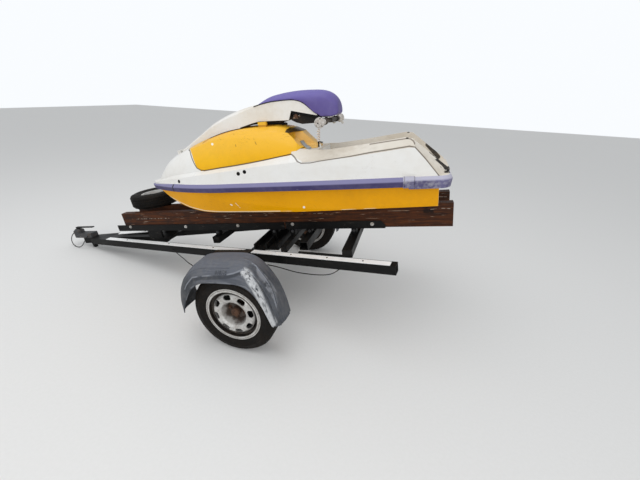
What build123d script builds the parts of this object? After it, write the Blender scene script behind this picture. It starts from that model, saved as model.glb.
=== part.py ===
from build123d import *
from math import asin, atan2, cos, degrees, hypot, pi, radians, sin, sqrt, tan
import os

# Stand-up water craft lying on a single-axle trailer, all sizes in millimetres.
# Trailer frame: origin at the middle of the axle, +X forward, +Y left, +Z up from the level frame.
# Craft frame: origin at the stern on the bumper's middle line, +X forward, +Z up from the deck joint.

# wheels and axle
tyre_radius = 270.0
tyre_width = 155.0
tread_width = 122.0
groove_depth = 6.0
rim_flange_radius = 182.5
rim_bead_radius = 165.0
rim_width = 132.0
rim_wall = 5.0
rim_slot_count = 8
spare_radius = 210.0
spare_width = 128.0
spare_tread = 98.0
spare_flange_radius = 116.0
spare_bead_radius = 101.0
spare_rim_width = 96.0
wheel_half_track = 739.0
hub_radius = 62.0
stub_radius = 14.0
axle_beam_side = 60.0
axle_beam_x = 150.0
swing_arm_width = 36.0

# frame
rail_side = 60.0
rail_wall = 4.0
rail_top = 196.0
rail_rear_x = -950.0
rail_rear_y = 508.0
rail_angle = 8.8
rail_front_x = 2010.0
drawbar_side = 60.0
drawbar_rear_x = 1120.0
drawbar_front_x = 2120.0
strip_width = 46.0
strip_thickness = 4.0
crossbar_side = 50.0
socket_x = 2186.0
socket_bottom = 200.0
socket_radius = 25.5
socket_depth = 46.0
foot_x = 2045.0
foot_height = 85.45
foot_side = 28.0

# bunks
bunk_rear_x = -1283.0
bunk_front_x = 1400.0
bunk_thickness = 58.0
bunk_bottom = 302.0
bunk_top = 455.0
bunk_rear_y = 129.0
bunk_front_y = 95.0
iron_leg = 54.0
iron_wall = 6.0
iron_break_x = -140.0
spare_x = 1243.0
spare_y = -155.0

# mudguards
guard_inner_y = wheel_half_track - 89.0
guard_width = 200.0
guard_top = 345.0
guard_wall = 4.0

# craft
craft_length = 2282.0
craft_half_beam = 315.0
craft_tilt = 1.35
craft_stern_x = -1262.0
craft_stern_z = 626.0
bow_radius = 125.0
stern_corner = 62.0
bumper_half_height = 29.0
stern_bumper_low = 41.0
bumper_depth = 14.0
band_proud = 4.0
hull_flare = 38.0
deadrise = 42.0
transom_x = 72.0
deck_inset = 20.0
crease_inset = 32.0
tray_half_width = 170.0
tray_floor = 34.0
tray_front_x = 800.0
mat_thickness = 6.0
seam_gap = 1.5
crown_skirt = 14.0
channel_depth = 9.0
scoop_depth = 20.0
lip_wall = 5.0
side_hole_radius = 12.0
crown_tuck = 8.0

# handle pole
pivot_x = craft_length - 337.0
pivot_z = 239.0
pivot_pin_radius = 6.0
knuckle_radius = 13.0
pole_clearance = 8.0
cover_half_width = 78.0
cover_wall = 7.0
steer_x = 770.0
handlebar_z = 361.0
handlebar_radius = 11.0
stem_radius = 10.0
grip_radius = 17.0
grip_flange_radius = 30.0
grip_length = 120.0
handlebar_half = 310.0

# jet pump
pump_z = -100.0
pump_radius = 70.0
pump_wall = 6.0
impeller_radius = 58.0
pump_front_x = 400.0
shaft_radius = 11.0
shaft_front_x = 760.0
running_gap = 0.3
nozzle_pin_x = 150.0

# cords, points in the trailer frame
lanyard_diameter = 22.0
lanyard_route = [(-528.0, 303.0, 972.5), (-521.0, 302.0, 940.0), (-517.0, 298.0, 904.0)]
wire_diameter = 6.0
guard_wire_route = [(880.0, 228.5, 158.0), (800.0, 275.0, 163.0), (725.0, 332.0, 174.0), (640.0, 398.0, 184.0),
                    (560.0, 455.0, 194.0), (480.0, 522.0, 206.0), (400.0, 580.0, 220.0), (322.0, 640.0, 234.0)]
rail_wire_route = [(-212.0, 640.0, 262.0), (-245.0, 600.0, 230.0), (-290.0, 572.0, 196.0), (-345.0, 546.0, 162.0),
                   (-400.0, 520.0, 138.0), (-462.0, 496.0, 118.0), (-520.0, 476.0, 108.0), (-566.0, 458.0, 114.0),
                   (-596.0, 440.0, 132.5)]
lead_diameter = 7.0
lead_route = [(2030.0, 42.5, 216.0), (2058.0, 60.0, 190.0), (2080.0, 74.0, 156.0), (2118.0, 80.0, 124.0),
              (2170.0, 80.0, 112.5), (2222.0, 74.0, 124.0), (2258.0, 62.0, 158.0), (2266.0, 46.0, 198.0),
              (2250.0, 30.0, 232.0), (2233.0, 20.0, 246.0)]

# The nose rests on its foot, so the frame leans forward until tyre and foot share one plane.
foot_reach = hypot(foot_x, foot_height)
lean = degrees(asin(tyre_radius / foot_reach) + atan2(foot_height, foot_x))
os.makedirs("parts", exist_ok=True)
pieces = {}


def box(x0, x1, y0, y1, z0, z1):
    return Pos((x0 + x1) / 2, (y0 + y1) / 2, (z0 + z1) / 2) * Box(x1 - x0, y1 - y0, z1 - z0)


def rod(start, end, radius):
    a, b = Vector(*start), Vector(*end)
    return extrude(Plane(origin=a, z_dir=b - a) * Circle(radius), (b - a).length)


def side_plate(points, y0, y1):
    return extrude(Plane.XZ.offset(-y1) * make_face(Polyline(*points, close=True)), y1 - y0)


def mirrored(shape):
    return mirror(shape, Plane.XZ)


def on_craft(shape):
    return Pos(craft_stern_x, 0, craft_stern_z) * Rot(0, -craft_tilt, 0) * shape


# Plan outline of the craft: straight stern, round corners, long side arcs and a round bow.
side_mid = (650.0, craft_half_beam)
side_end = (craft_length - 882.0, craft_half_beam - 10)
fore_mid = (craft_length - 452.0, craft_half_beam - 57)
bow_angle = radians(65)
bow_start = (craft_length - bow_radius + bow_radius * cos(bow_angle), bow_radius * sin(bow_angle))


def plan_face(z, inset):
    """Closed outline at height z, moved inward by inset."""
    c = stern_corner
    top = craft_half_beam - 8 - inset
    r = c - inset * 0.5
    diag = r * sin(radians(45))
    a = (inset, top - r)
    b = (inset + r - diag, top - r + diag)
    d = (inset + r, top)
    e = (side_mid[0], side_mid[1] - inset)
    f = (side_end[0] - inset * 0.04, side_end[1] - inset)
    g = (fore_mid[0] - inset * 0.2, fore_mid[1] - inset * 0.98)
    h = (bow_start[0] - inset * cos(bow_angle), bow_start[1] - inset * sin(bow_angle))
    tip = (craft_length - inset, 0)
    low = [(p[0], -p[1]) for p in (a, b, d, e, f, g, h)]
    edges = [
        Line(low[0], a),
        ThreePointArc(a, b, d),
        ThreePointArc(d, e, f),
        ThreePointArc(f, g, h),
        ThreePointArc(h, tip, low[6]),
        ThreePointArc(low[6], low[5], low[4]),
        ThreePointArc(low[4], low[3], low[2]),
        ThreePointArc(low[2], low[1], low[0]),
    ]
    return Pos(0, 0, z) * make_face(edges)


def plan_loft(*levels):
    return loft([plan_face(z, inset) for z, inset in levels], ruled=True)


def arc_height(p1, p2, p3, x):
    """Height at x of the circle through three points, on its upper side."""
    ax, ay, bx, by, cx, cy = *p1, *p2, *p3
    d = 2 * (ax * (by - cy) + bx * (cy - ay) + cx * (ay - by))
    ux = ((ax**2 + ay**2) * (by - cy) + (bx**2 + by**2) * (cy - ay) + (cx**2 + cy**2) * (ay - by)) / d
    uy = ((ax**2 + ay**2) * (cx - bx) + (bx**2 + by**2) * (ax - cx) + (cx**2 + cy**2) * (bx - ax)) / d
    return uy + sqrt(max(hypot(ax - ux, ay - uy) ** 2 - (x - ux) ** 2, 0))


def half_beam(x):
    if x > bow_start[0]:
        return sqrt(max(bow_radius**2 - (x - craft_length + bow_radius) ** 2, 1))
    if x > side_end[0]:
        return arc_height(side_end, fore_mid, bow_start, x)
    return craft_half_beam - 4


# hull: plan-shaped body cut by a bottom with rocker, bow rise and deadrise
bottom_line = [(transom_x, -155.0), (950.0, -182.0), (1560.0, -181.0)]
bow_rise = [(1850.0, -150.0), (2190.0, 10.0)]


def bottom_profile(y, drop):
    p = [(x, z - drop) for x, z in bottom_line]
    mid = (bow_rise[0][0] + drop * 0.4, bow_rise[0][1] - drop * 0.8)
    end = (bow_rise[1][0] + drop * 0.6, bow_rise[1][1])
    edges = [
        Line(p[0], p[1]),
        Line(p[1], p[2]),
        ThreePointArc(p[2], mid, end),
        Line(end, (transom_x, bow_rise[1][1])),
        Line((transom_x, bow_rise[1][1]), p[0]),
    ]
    return Plane.XZ.offset(-y) * make_face(edges)


hull_body = plan_loft((-250, bumper_depth + 8 + hull_flare), (-bumper_half_height, bumper_depth + 8))
hull_body += plan_loft((-bumper_half_height, bumper_depth), (0, bumper_depth))
hull_bottom = loft([bottom_profile(-270, 0), bottom_profile(0, deadrise), bottom_profile(270, 0)], ruled=True)
flange = plan_loft((-12, bumper_depth), (0, bumper_depth))
hull = (hull_body & hull_bottom) + flange
pump_tunnel = rod((transom_x + 118, 0, pump_z), (pump_front_x, 0, pump_z), pump_radius + 2)
pump_tunnel += rod((pump_front_x, 0, pump_z), (620, 0, pump_z), pump_radius - pump_wall)
pump_tunnel += rod((620, 0, pump_z), (shaft_front_x + 2, 0, pump_z), shaft_radius + running_gap)
nozzle_bay = box(transom_x - 20, transom_x + 118, -105, 105, -230, pump_z + 85)
intake = side_plate([(470, -250), (820, -250), (700, pump_z), (560, pump_z + 40), (470, pump_z)], -60, 60)
engine_x0, engine_x1, engine_half, engine_z0, engine_z1 = 1050.0, 1430.0, 115.0, -150.0, 110.0
engine = box(engine_x0, engine_x1, -engine_half, engine_half, engine_z0, engine_z1)
plate_z = -198.0
hull = hull - pump_tunnel - nozzle_bay - intake - engine - box(transom_x - 1, 440, -88, 88, -260, plate_z)

# deck: nose and hood share one crowned skin, behind them the open tray between two raised rails
# crown columns: x, foot half width, foot height, shoulder half width, shoulder height, top height
crown = [
    (2200.0, 56.0, 30.0, 30.0, 36.0, 40.0),
    (2160.0, 88.0, 44.0, 52.0, 74.0, 88.0),
    (2105.0, 120.0, 60.0, 78.0, 116.0, 142.0),
    (2040.0, 146.0, 76.0, 98.0, 156.0, 192.0),
    (1950.0, 172.0, 92.0, 118.0, 198.0, 230.0),
    (1870.0, 190.0, 100.0, 128.0, 228.0, 256.0),
    (1815.0, 198.0, 104.0, 134.0, 247.0, 274.0),
    (1740.0, 204.0, 109.0, 140.0, 267.0, 299.0),
    (1672.0, 208.0, 115.0, 142.0, 283.0, 320.0),
    (1547.0, 211.0, 127.0, 146.0, 308.0, 356.0),
    (1371.0, 212.0, 143.0, 148.0, 330.0, 380.0),
    (1200.0, 212.0, 160.0, 148.0, 332.0, 382.0),
    (1060.0, 211.0, 177.0, 146.0, 322.0, 368.0),
    (935.0, 194.0, 194.0, 132.0, 290.0, 316.0),
]
crown_rear = [
    (909.0, 170.0, 200.0, 112.0, 260.0, 290.0),
    (876.0, 134.0, 204.0, 86.0, 232.0, 260.0),
    (850.0, 98.0, 206.0, 60.0, 216.0, 236.0),
    (832.0, 72.0, 207.0, 44.0, 209.0, 220.0),
]


def crown_face(row, lift=0.0):
    x, yf, zf, ys, zs, zt = row
    zf, zs, zt = zf + lift, zs + lift, zt + lift
    mid = ((yf + ys) / 2 + (zs - zf) * 0.08, (zf + zs) / 2 + (yf - ys) * 0.08)
    edges = [
        Line((-yf, zf - crown_skirt), (yf, zf - crown_skirt)),
        Line((yf, zf - crown_skirt), (yf, zf)),
        ThreePointArc((yf, zf), mid, (ys, zs)),
        ThreePointArc((ys, zs), (0, zt), (-ys, zs)),
        ThreePointArc((-ys, zs), (-mid[0], mid[1]), (-yf, zf)),
        Line((-yf, zf), (-yf, zf - crown_skirt)),
    ]
    return Plane.YZ.offset(x) * make_face(edges)


def crease_height(x):
    table = [(0, 196.0), (210, 193.0), (570, 162.0), (890, 146.0), (1180, 132.0), (1690, 88.0), (2040, 50.0), (2260, 30.0)]
    for (xa, za), (xb, zb) in zip(table, table[1:]):
        if x <= xb:
            return za + (zb - za) * (x - xa) / (xb - xa)
    return table[-1][1]


def shelf_face(x, foot_y, foot_z):
    y0 = half_beam(x) - deck_inset
    y1 = half_beam(x) - crease_inset
    z0, z1 = 0.0, crease_height(x)
    foot_y = foot_y - crown_tuck
    pts = [(y0, z0), (y1, z1), (foot_y, foot_z), (-foot_y, foot_z), (-y1, z1), (-y0, z0)]
    return Plane.YZ.offset(x) * make_face(Polyline(*pts, close=True))


crown_loft = loft([crown_face(r) for r in crown], ruled=False)
crown_loft += loft([crown_face(r) for r in crown[-1:] + crown_rear], ruled=True)
shelf = loft([shelf_face(r[0], r[1], r[2]) for r in crown[1:]], ruled=True)
hood_edge = [(1664, 0), (1672, 112), (1703, 138), (1720, 176), (1743, 224), (1768, 256), (1815, 268), (1830, 300)]
hood_edge += [(1830, 460), (700, 460), (700, 0)]
hood_zone = side_plate(hood_edge, -300, 300)
hood_gap = side_plate([(x + seam_gap if x > 1000 else x, z) for x, z in hood_edge], -300, 300)
channel_plan = [(1000, 95), (1610, 95), (1650, 75), (1926, 66)]
channel_plan += [(x, -y) for x, y in reversed(channel_plan)]
channel = Pos(0, 0, 180) * extrude(make_face(Polyline(*channel_plan, close=True)), 300)
channel = channel - loft([crown_face(r, -channel_depth) for r in crown], ruled=False)
nose = crown_loft - hood_gap - channel

# rail roof columns: x on the outer seam, height there, x on the inner edge, height there
roof = [
    (966.0, 142.0, 966.0, 222.0),
    (900.0, 146.0, 900.0, 210.0),
    (836.0, 149.0, 845.0, 201.0),
    (736.0, 154.0, 736.0, 195.0),
    (570.0, 162.0, 529.0, 209.0),
    (250.0, 191.0, 262.0, 234.0),
    (206.0, 190.0, 222.0, 226.0),
    (72.0, 30.0, 4.0, 34.0),
]
mat_front = [(868.0, 400.0), (868.0, 292.0), (880.0, 278.0), (905.0, 262.0), (950.0, 236.0), (966.0, 212.0)]


# round drain and hose holes in the deck's side: x, height
side_holes = [(1285.0, 103.0), (1333.0, 93.0), (1878.0, 46.0)]


def roof_face(y, inner, drop):
    i = 2 if inner else 0
    pts = [(r[i], r[i + 1] - drop) for r in roof] + [(-5, 30 - drop), (-5, 0), (roof[0][0], 0)]
    return Plane.XZ.offset(-y) * make_face(Polyline(*pts, close=True))


def roof_loft(drop):
    seam_y, inner_y = craft_half_beam - 26, tray_half_width
    ys = [(-seam_y, False), (-inner_y, True), (inner_y, True), (seam_y, False)]
    return loft([roof_face(y, inner, drop) for y, inner in ys], ruled=True)


deck_sides = plan_loft((0, bumper_depth), (bumper_half_height, bumper_depth))
deck_sides += plan_loft((bumper_half_height, deck_inset), (250, crease_inset + 4))
behind_plan = [(-10.0, 400.0)] + mat_front
behind_plan += [(x, -y) for x, y in reversed(behind_plan)]
behind = Pos(0, 0, -1) * extrude(make_face(Polyline(*behind_plan, close=True)), 301)
roofed = deck_sides & roof_loft(0)
rear_outer = roofed & behind
rear_inner = (deck_sides & roof_loft(mat_thickness) & box(-10, roof[0][0], -400, 400, -1, 300))
rear_inner += (roofed & box(860, roof[0][0], -400, 400, -1, 300)) - behind
tray = box(-20, tray_front_x, -tray_half_width, tray_half_width, tray_floor, 400)
lined_tray = box(-20, tray_front_x, -tray_half_width + mat_thickness, tray_half_width - mat_thickness, tray_floor, 400)
deck_flange = plan_loft((0, bumper_depth), (12, bumper_depth))
deck_low = plan_loft((0, bumper_depth), (bumper_half_height, bumper_depth))
knuckle_bay = rod((pivot_x, -43.5, pivot_z), (pivot_x, 43.5, pivot_z), knuckle_radius + 6)
deck = nose + shelf + rear_inner + deck_low - tray - engine - knuckle_bay
for x, z in side_holes:
    y = half_beam(x) - deck_inset - (crease_inset - deck_inset) * z / crease_height(x)
    for s in (1, -1):
        deck = deck - rod((x, s * (y - 12), z), (x, s * (y + 12), z), side_hole_radius)
hood = (crown_loft & hood_zone)
# scoops: a trough down each rear corner of the hood, its front end roofed by a thin lip
# trough columns: x, inner y, outer y, bottom height
trough_rows = [(1014, 52, 134, 290), (960, 48, 156, 256), (920, 44, 184, 226), (880, 40, 205, 215), (815, 34, 205, 215)]


def trough_face(x, y0, y1, z0):
    c = scoop_depth * 0.7
    pts = [(y0, 460), (y0, z0 + c), (y0 + c, z0), (y1 - c, z0), (y1, z0 + c), (y1, 460)]
    return Plane.YZ.offset(x) * make_face(Polyline(*pts, close=True))


trough = loft([trough_face(*r) for r in trough_rows], ruled=True)
lip_plan = [(1020, 40), (1020, 140), (1004, 140), (936, 40)]
lip_zone = Pos(0, 0, 150) * extrude(make_face(Polyline(*lip_plan, close=True)), 300)
lip_under = loft([crown_face(r, -lip_wall) for r in crown], ruled=False)
lip_under += loft([crown_face(r, -lip_wall) for r in crown[-1:] + crown_rear], ruled=True)
trough = trough - (lip_zone - lip_under)
catch = box(1160, 1218, 84, 106, 330, 394) + box(1160, 1218, -106, -84, 330, 394)
hood = hood - channel - trough - mirrored(trough) + catch - rear_outer - rear_inner - shelf
mats = rear_outer - rear_inner - lined_tray
mats += (box(4, tray_front_x, tray_half_width - mat_thickness, tray_half_width, tray_floor, 300) & rear_outer)
mats += (box(4, tray_front_x, -tray_half_width, -tray_half_width + mat_thickness, tray_floor, 300) & rear_outer)
mats = mats - hood - deck
left_half = box(-50, 2500, 0, 500, -500, 800)
pieces["hull_lower"] = on_craft(hull)
pieces["deck_upper"] = on_craft(deck)
pieces["engine_hood"] = on_craft(hood)
pieces["rail_mat_left"] = on_craft(mats & left_half)
pieces["rail_mat_right"] = on_craft(mats - left_half)
floor_half = tray_half_width - mat_thickness
pieces["tray_mat"] = on_craft(box(10, tray_front_x - 1, -floor_half, floor_half, tray_floor, tray_floor + mat_thickness))
pieces["engine_block"] = on_craft(engine)

# bumper: ring round the joint, light sloped top and upright face, in pieces
def bumper_ring(proud):
    h = bumper_half_height + proud
    ring = plan_loft((-h, 9 - proud), (5, -proud)) + plan_loft((5, -proud), (h, 11 - proud))
    return ring - plan_loft((-h, bumper_depth), (h, bumper_depth))


ring = bumper_ring(0)
band_ring = bumper_ring(band_proud) - ring
bow_joint_x, stern_joint_x, band_half = craft_length - 377.0, 238.0, 32.0
bow_end = craft_length + 18
bow_wedge = side_plate([(bow_joint_x, 29.5), (bow_end, 8), (bow_end, -23), (bow_joint_x, -29.5)], -400, 400)
pieces["bumper_bow"] = on_craft(ring & bow_wedge)
sides = ring & box(stern_joint_x, bow_joint_x, -400, 400, -60, 60)
pieces["bumper_side_left"] = on_craft(sides & left_half)
pieces["bumper_side_right"] = on_craft(sides - left_half)
bands = band_ring & box(stern_joint_x - band_half, stern_joint_x + band_half, -400, 400, -60, 60)
stern_ring = plan_loft((-stern_bumper_low, 9), (5, 0)) + plan_loft((5, 0), (bumper_half_height, 11))
stern_ring = stern_ring - plan_loft((-bumper_half_height, bumper_depth), (bumper_half_height, bumper_depth))
stern_ring = stern_ring - plan_loft((-60, bumper_depth + 6), (-bumper_half_height, bumper_depth + 6)) - hull
pieces["bumper_stern"] = on_craft((stern_ring & box(-10, stern_joint_x, -400, 400, -60, 60)) + bands)

# jet pump
housing = rod((188, 0, pump_z), (pump_front_x, 0, pump_z), pump_radius)
housing = housing - rod((188, 0, pump_z), (pump_front_x, 0, pump_z), pump_radius - pump_wall)
hub_core = rod((200, 0, pump_z), (290, 0, pump_z), 20)
vanes = [Pos(245, 0, pump_z) * Rot(a, 0, 0) * Pos(0, 0, 42) * Box(70, 4, 48) for a in range(0, 360, 72)]
for vane in vanes:
    housing = housing + (vane & rod((188, 0, pump_z), (400, 0, pump_z), pump_radius - 1))
housing = housing + hub_core - rod((268, 0, pump_z), (291, 0, pump_z), shaft_radius + running_gap)
axial = (Align.CENTER, Align.CENTER, Align.MIN)
outlet = rod((140, 0, pump_z), (194, 0, pump_z), 38) + rod((188, 0, pump_z), (194, 0, pump_z), pump_radius)
outlet = outlet - rod((139, 0, pump_z), (195, 0, pump_z), 33)
pin_rods = rod((nozzle_pin_x, 0, pump_z - 63), (nozzle_pin_x, 0, pump_z - 34), 4)
pin_rods += rod((nozzle_pin_x, 0, pump_z + 34), (nozzle_pin_x, 0, pump_z + 63), 4)
pieces["pump_housing"] = on_craft(housing + outlet + pin_rods)
impeller = rod((300, 0, pump_z), (372, 0, pump_z), 22)
impeller += rod((270, 0, pump_z), (shaft_front_x, 0, pump_z), shaft_radius)
for a in range(0, 360, 120):
    blade = Pos(336, 0, pump_z) * Rot(a, 0, 0) * Pos(0, 0, 40) * Rot(0, 0, 35) * Box(80, 4, 46)
    impeller = impeller + (blade & rod((302, 0, pump_z), (370, 0, pump_z), impeller_radius))
pieces["impeller"] = on_craft(impeller)
nozzle = Pos(76, 0, pump_z) * Rot(0, 90, 0) * (Cone(46, 58, 86, align=axial) - Cone(40, 52, 86, align=axial))
nozzle = nozzle - rod((nozzle_pin_x, 0, pump_z - 80), (nozzle_pin_x, 0, pump_z + 80), 4.3)
pieces["steering_nozzle"] = on_craft(nozzle)
grate = box(470, 484, -60, 60, -212, -204)
for y in (-44, -24, -4, 16, 36):
    grate += box(470, 800, y, y + 8, -212, -204)
pieces["intake_grate"] = on_craft(grate - hull)
pieces["ride_plate"] = on_craft(box(transom_x, 440, -88, 88, plate_z - 6, plate_z))

# handle pole, hinged at the bow and folded down over the hood
# cover columns: x, middle height, side height, half width
cover = [
    (1915.0, 258.0, 240.0, 50.0),
    (1860.0, 285.0, 264.0, 56.0),
    (1792.0, 321.0, 298.0, 62.0),
    (1727.0, 352.0, 328.0, 67.0),
    (1663.0, 386.0, 360.0, 71.0),
    (1602.0, 416.0, 389.0, 74.0),
    (1543.0, 439.0, 411.0, 76.0),
    (1488.0, 457.0, 429.0, 77.0),
    (1433.0, 472.0, 444.0, 78.0),
    (1381.0, 484.0, 456.0, 78.0),
    (1330.0, 493.0, 468.0, 78.0),
    (1280.0, 500.0, 480.0, 78.0),
    (1240.0, 504.0, 491.0, 78.0),
    (1202.0, 505.0, 499.0, 78.0),
    (1118.0, 512.0, 509.0, 78.0),
    (1039.0, 512.0, 509.0, 78.0),
    (978.0, 511.0, 508.0, 78.0),
    (928.0, 502.0, 499.0, 78.0),
    (889.0, 482.0, 479.0, 77.0),
    (859.0, 453.0, 450.0, 76.0),
    (837.0, 429.0, 426.0, 75.0),
    (813.0, 412.0, 409.0, 74.0),
]
# pad columns: x, middle height, side height, lower height, half width
pad_rows = [
    (1240.0, 506.0, 498.0, 470.0, 60.0),
    (1195.0, 521.0, 503.0, 470.0, 74.0),
    (1145.0, 540.0, 512.0, 470.0, 80.0),
    (1080.0, 551.0, 518.0, 470.0, 84.0),
    (1016.0, 556.0, 520.0, 470.0, 85.0),
    (955.0, 558.0, 518.0, 458.0, 86.0),
    (887.0, 556.0, 514.0, 436.0, 87.0),
    (822.0, 551.0, 506.0, 400.0, 88.0),
    (759.0, 541.0, 494.0, 388.0, 88.0),
    (715.0, 522.0, 474.0, 386.0, 85.0),
    (686.0, 496.0, 450.0, 392.0, 78.0),
    (671.0, 468.0, 432.0, 404.0, 66.0),
]


def arched_face(x, top, side, low, half):
    edges = [
        Line((-half, low), (half, low)),
        Line((half, low), (half, side)),
        ThreePointArc((half, side), (0, top), (-half, side)),
        Line((-half, side), (-half, low)),
    ]
    return Plane.YZ.offset(x) * make_face(edges)


def cover_loft(rows, shrink):
    return loft([arched_face(x, t - shrink, e - shrink, 190, h - shrink) for x, t, e, h in rows], ruled=True)


lift = pole_clearance - channel_depth
lifted = loft([crown_face(r, lift) for r in crown], ruled=False)
lifted += loft([crown_face(r, lift) for r in crown[-1:] + crown_rear], ruled=True)
under_cover = side_plate([(1371, 371), (1270, 391), (1222, 398), (1139, 394), (1005, 387), (982, 443)]
                         + [(813, 400), (790, 396), (790, 150), (1371, 150)], -120, 120)
cover_block = cover_loft(cover, 0) - lifted - under_cover
inner = cover_loft(cover[2:-1], cover_wall)

plate_top, plate_wall = 408.0, 8.0
steer_plate = box(steer_x - 34, 1000, -38, 38, plate_top - plate_wall, plate_top)
web = [(834, 402), (834, 372), (846, 354), (927, 354), (971, 368), (1000, 384), (1000, 402)]
steer_plate += side_plate(web, 32, 38) + side_plate(web, -38, -32)
seam_line = [(x, e) for x, t, e, h in cover if e > 400]
below_seam = side_plate(seam_line + [(790, 400), (790, 300), (1300, 300)], -120, 120)
pad = loft([arched_face(*r) for r in pad_rows], ruled=False) - below_seam - cover_loft(cover, 0) - steer_plate
knuckle = rod((pivot_x, -38, pivot_z), (pivot_x, 38, pivot_z), knuckle_radius)
pin = rod((pivot_x, -56, pivot_z), (pivot_x, 56, pivot_z), pivot_pin_radius)
strap = side_plate([(pivot_x, pivot_z + 2), (pivot_x, pivot_z + 13), (1863, 268), (1792, 306), (1765, 318), (1765, 250)], -30, 30)
strap_top = [(x, e - 14) for x, t, e, h in cover if 1000 < x < 1750]
strap += side_plate([(1778, 250), (1778, 318)] + strap_top + [(975, 440), (975, 395)], -30, 30)
spacers = [rod((x, -73, z), (x, 73, z), 9) for x, z in ((1500, 400), (1180, 460), (1020, 455))]
arm = (strap - lifted) + knuckle
for spacer in spacers:
    arm += spacer
arm = arm + pin - steer_plate - box(960, 1000, -40, 40, 380, plate_top)
pieces["pole_arm"] = on_craft(arm)
pieces["pole_cover"] = on_craft(cover_block - inner - arm - steer_plate)
bearing = rod((steer_x, 0, plate_top - plate_wall - 18), (steer_x, 0, plate_top - plate_wall), 24)
stem_hole = rod((steer_x, 0, 300), (steer_x, 0, plate_top + 1), stem_radius + 0.3)
pieces["steering_plate"] = on_craft(steer_plate + bearing - stem_hole)
pieces["chin_pad"] = on_craft(pad - bearing)

bar_x = steer_x - 30
stem = rod((steer_x, 0, handlebar_z), (steer_x, 0, plate_top - 1), stem_radius)
bar = rod((bar_x, -handlebar_half, handlebar_z), (bar_x, handlebar_half, handlebar_z), handlebar_radius)
clamp = box(steer_x - 46, steer_x + 16, -28, 28, handlebar_z - 14, handlebar_z + 14)
pieces["handlebar"] = on_craft(bar + clamp + stem)
for name, s in (("grip_left", 1), ("grip_right", -1)):
    a, b = s * (handlebar_half - grip_length), s * (handlebar_half + 6)
    grip = rod((bar_x, a, handlebar_z), (bar_x, b, handlebar_z), grip_radius)
    grip += rod((bar_x, b - s * 9, handlebar_z), (bar_x, b, handlebar_z), grip_flange_radius)
    pieces[name] = on_craft(grip - bar)
ears = box(pivot_x - 13, pivot_x + 13, 44, 54, 150, pivot_z + 9) + box(pivot_x - 13, pivot_x + 13, -54, -44, 150, pivot_z + 9)
pin_hole = rod((pivot_x, -60, pivot_z), (pivot_x, 60, pivot_z), pivot_pin_radius + 0.3)
pieces["bow_pivot_bracket"] = on_craft(ears - deck - pin_hole)

# trailer wheels: tyre, pierced steel rim and hub
def revolved(points):
    return revolve(Plane.XZ * make_face(Polyline(*points, close=True)), Axis.Z, 360)


def tyre(r, width, tread, flange, bead, rim_w):
    w, t, f = width / 2, tread / 2, rim_w / 2 - rim_wall
    g = t * 0.45
    outer = [(bead, f), (flange + 2, f), (flange + 6, f + 8), (r - 45, w), (r - 12, t + 4), (r, t - 12)]
    outer += [(r, g + 4), (r - groove_depth, g + 4), (r - groove_depth, g - 4), (r, g - 4), (r, 4), (r - groove_depth, 4)]
    inner = [(bead, f - 14), (bead + 18, f - 14), (r - 45, w - 12), (r - 18, t - 14)]
    pts = outer + [(x, -z) for x, z in reversed(outer)]
    pts += [(x, -z) for x, z in inner] + [(x, z) for x, z in reversed(inner)]
    return revolved(pts)


def rim(f, r, rim_w, well, disc):
    w, t, d = rim_w / 2, rim_wall, r - well
    barrel = [(f, w), (f, w - t), (r, w - t), (r, w - 26), (d, w - 36), (d, -w + 36), (r, -w + 26), (r, -w + t), (f, -w + t), (f, -w)]
    barrel += [(r - t, -w), (r - t, -w + 24), (d - t, -w + 34), (d - t, w - 34), (r - t, w - 24), (r - t, w)]
    return revolved(barrel) + revolved(disc)


disc_edge = rim_bead_radius - 16 - rim_wall + 1
road_disc = [(28, 4), (58, 4), (70, 26), (84, 54), (100, 63), (126, 62), (138, 50), (disc_edge, 22), (disc_edge, 12)]
road_disc += [(disc_edge - 5, 14), (133, 46), (124, 56), (101, 57), (89, 50), (75, 22), (61, -2), (28, -2)]
spare_edge = spare_bead_radius - 12 - rim_wall + 1
spare_disc = [(28, 6), (56, 6), (66, 16), (spare_edge, 10), (spare_edge, 4), (66, 10), (58, 0), (28, 0)]
wheel_tyre = tyre(tyre_radius, tyre_width, tread_width, rim_flange_radius, rim_bead_radius, rim_width)
wheel_rim = rim(rim_flange_radius, rim_bead_radius, rim_width, 16, road_disc)
for i in range(rim_slot_count):
    slot = extrude(SlotCenterToCenter(20, 32, 90), 30, both=True)
    wheel_rim = wheel_rim - Rot(0, 0, i * 360 / rim_slot_count + 6) * Pos(119, 0, 50) * slot
seat = (Align.CENTER, Align.CENTER, Align.MIN)
hub = Cylinder(hub_radius - 4, 12, align=seat)
hub = Pos(0, 0, -14) * hub + Pos(0, 0, -2) * Cylinder(27, 36, align=seat) + Pos(0, 0, -60) * Cylinder(hub_radius + 30, 46, align=seat)
hub = hub - Pos(0, 0, -62) * Cylinder(stub_radius + 1, 84, align=seat)
for name, s in (("left", 1), ("right", -1)):
    place = Pos(0, s * wheel_half_track, 0) * Rot(-90 * s, 0, 0)
    pieces[f"tyre_{name}"] = place * wheel_tyre
    pieces[f"rim_{name}"] = place * wheel_rim
    pieces[f"hub_{name}"] = place * hub
spare_place = Pos(spare_x, spare_y, bunk_top + spare_width / 2)
pieces["spare_tyre"] = spare_place * tyre(spare_radius, spare_width, spare_tread, spare_flange_radius, spare_bead_radius, spare_rim_width)
pieces["spare_rim"] = spare_place * rim(spare_flange_radius, spare_bead_radius, spare_rim_width, 12, spare_disc)

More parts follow.
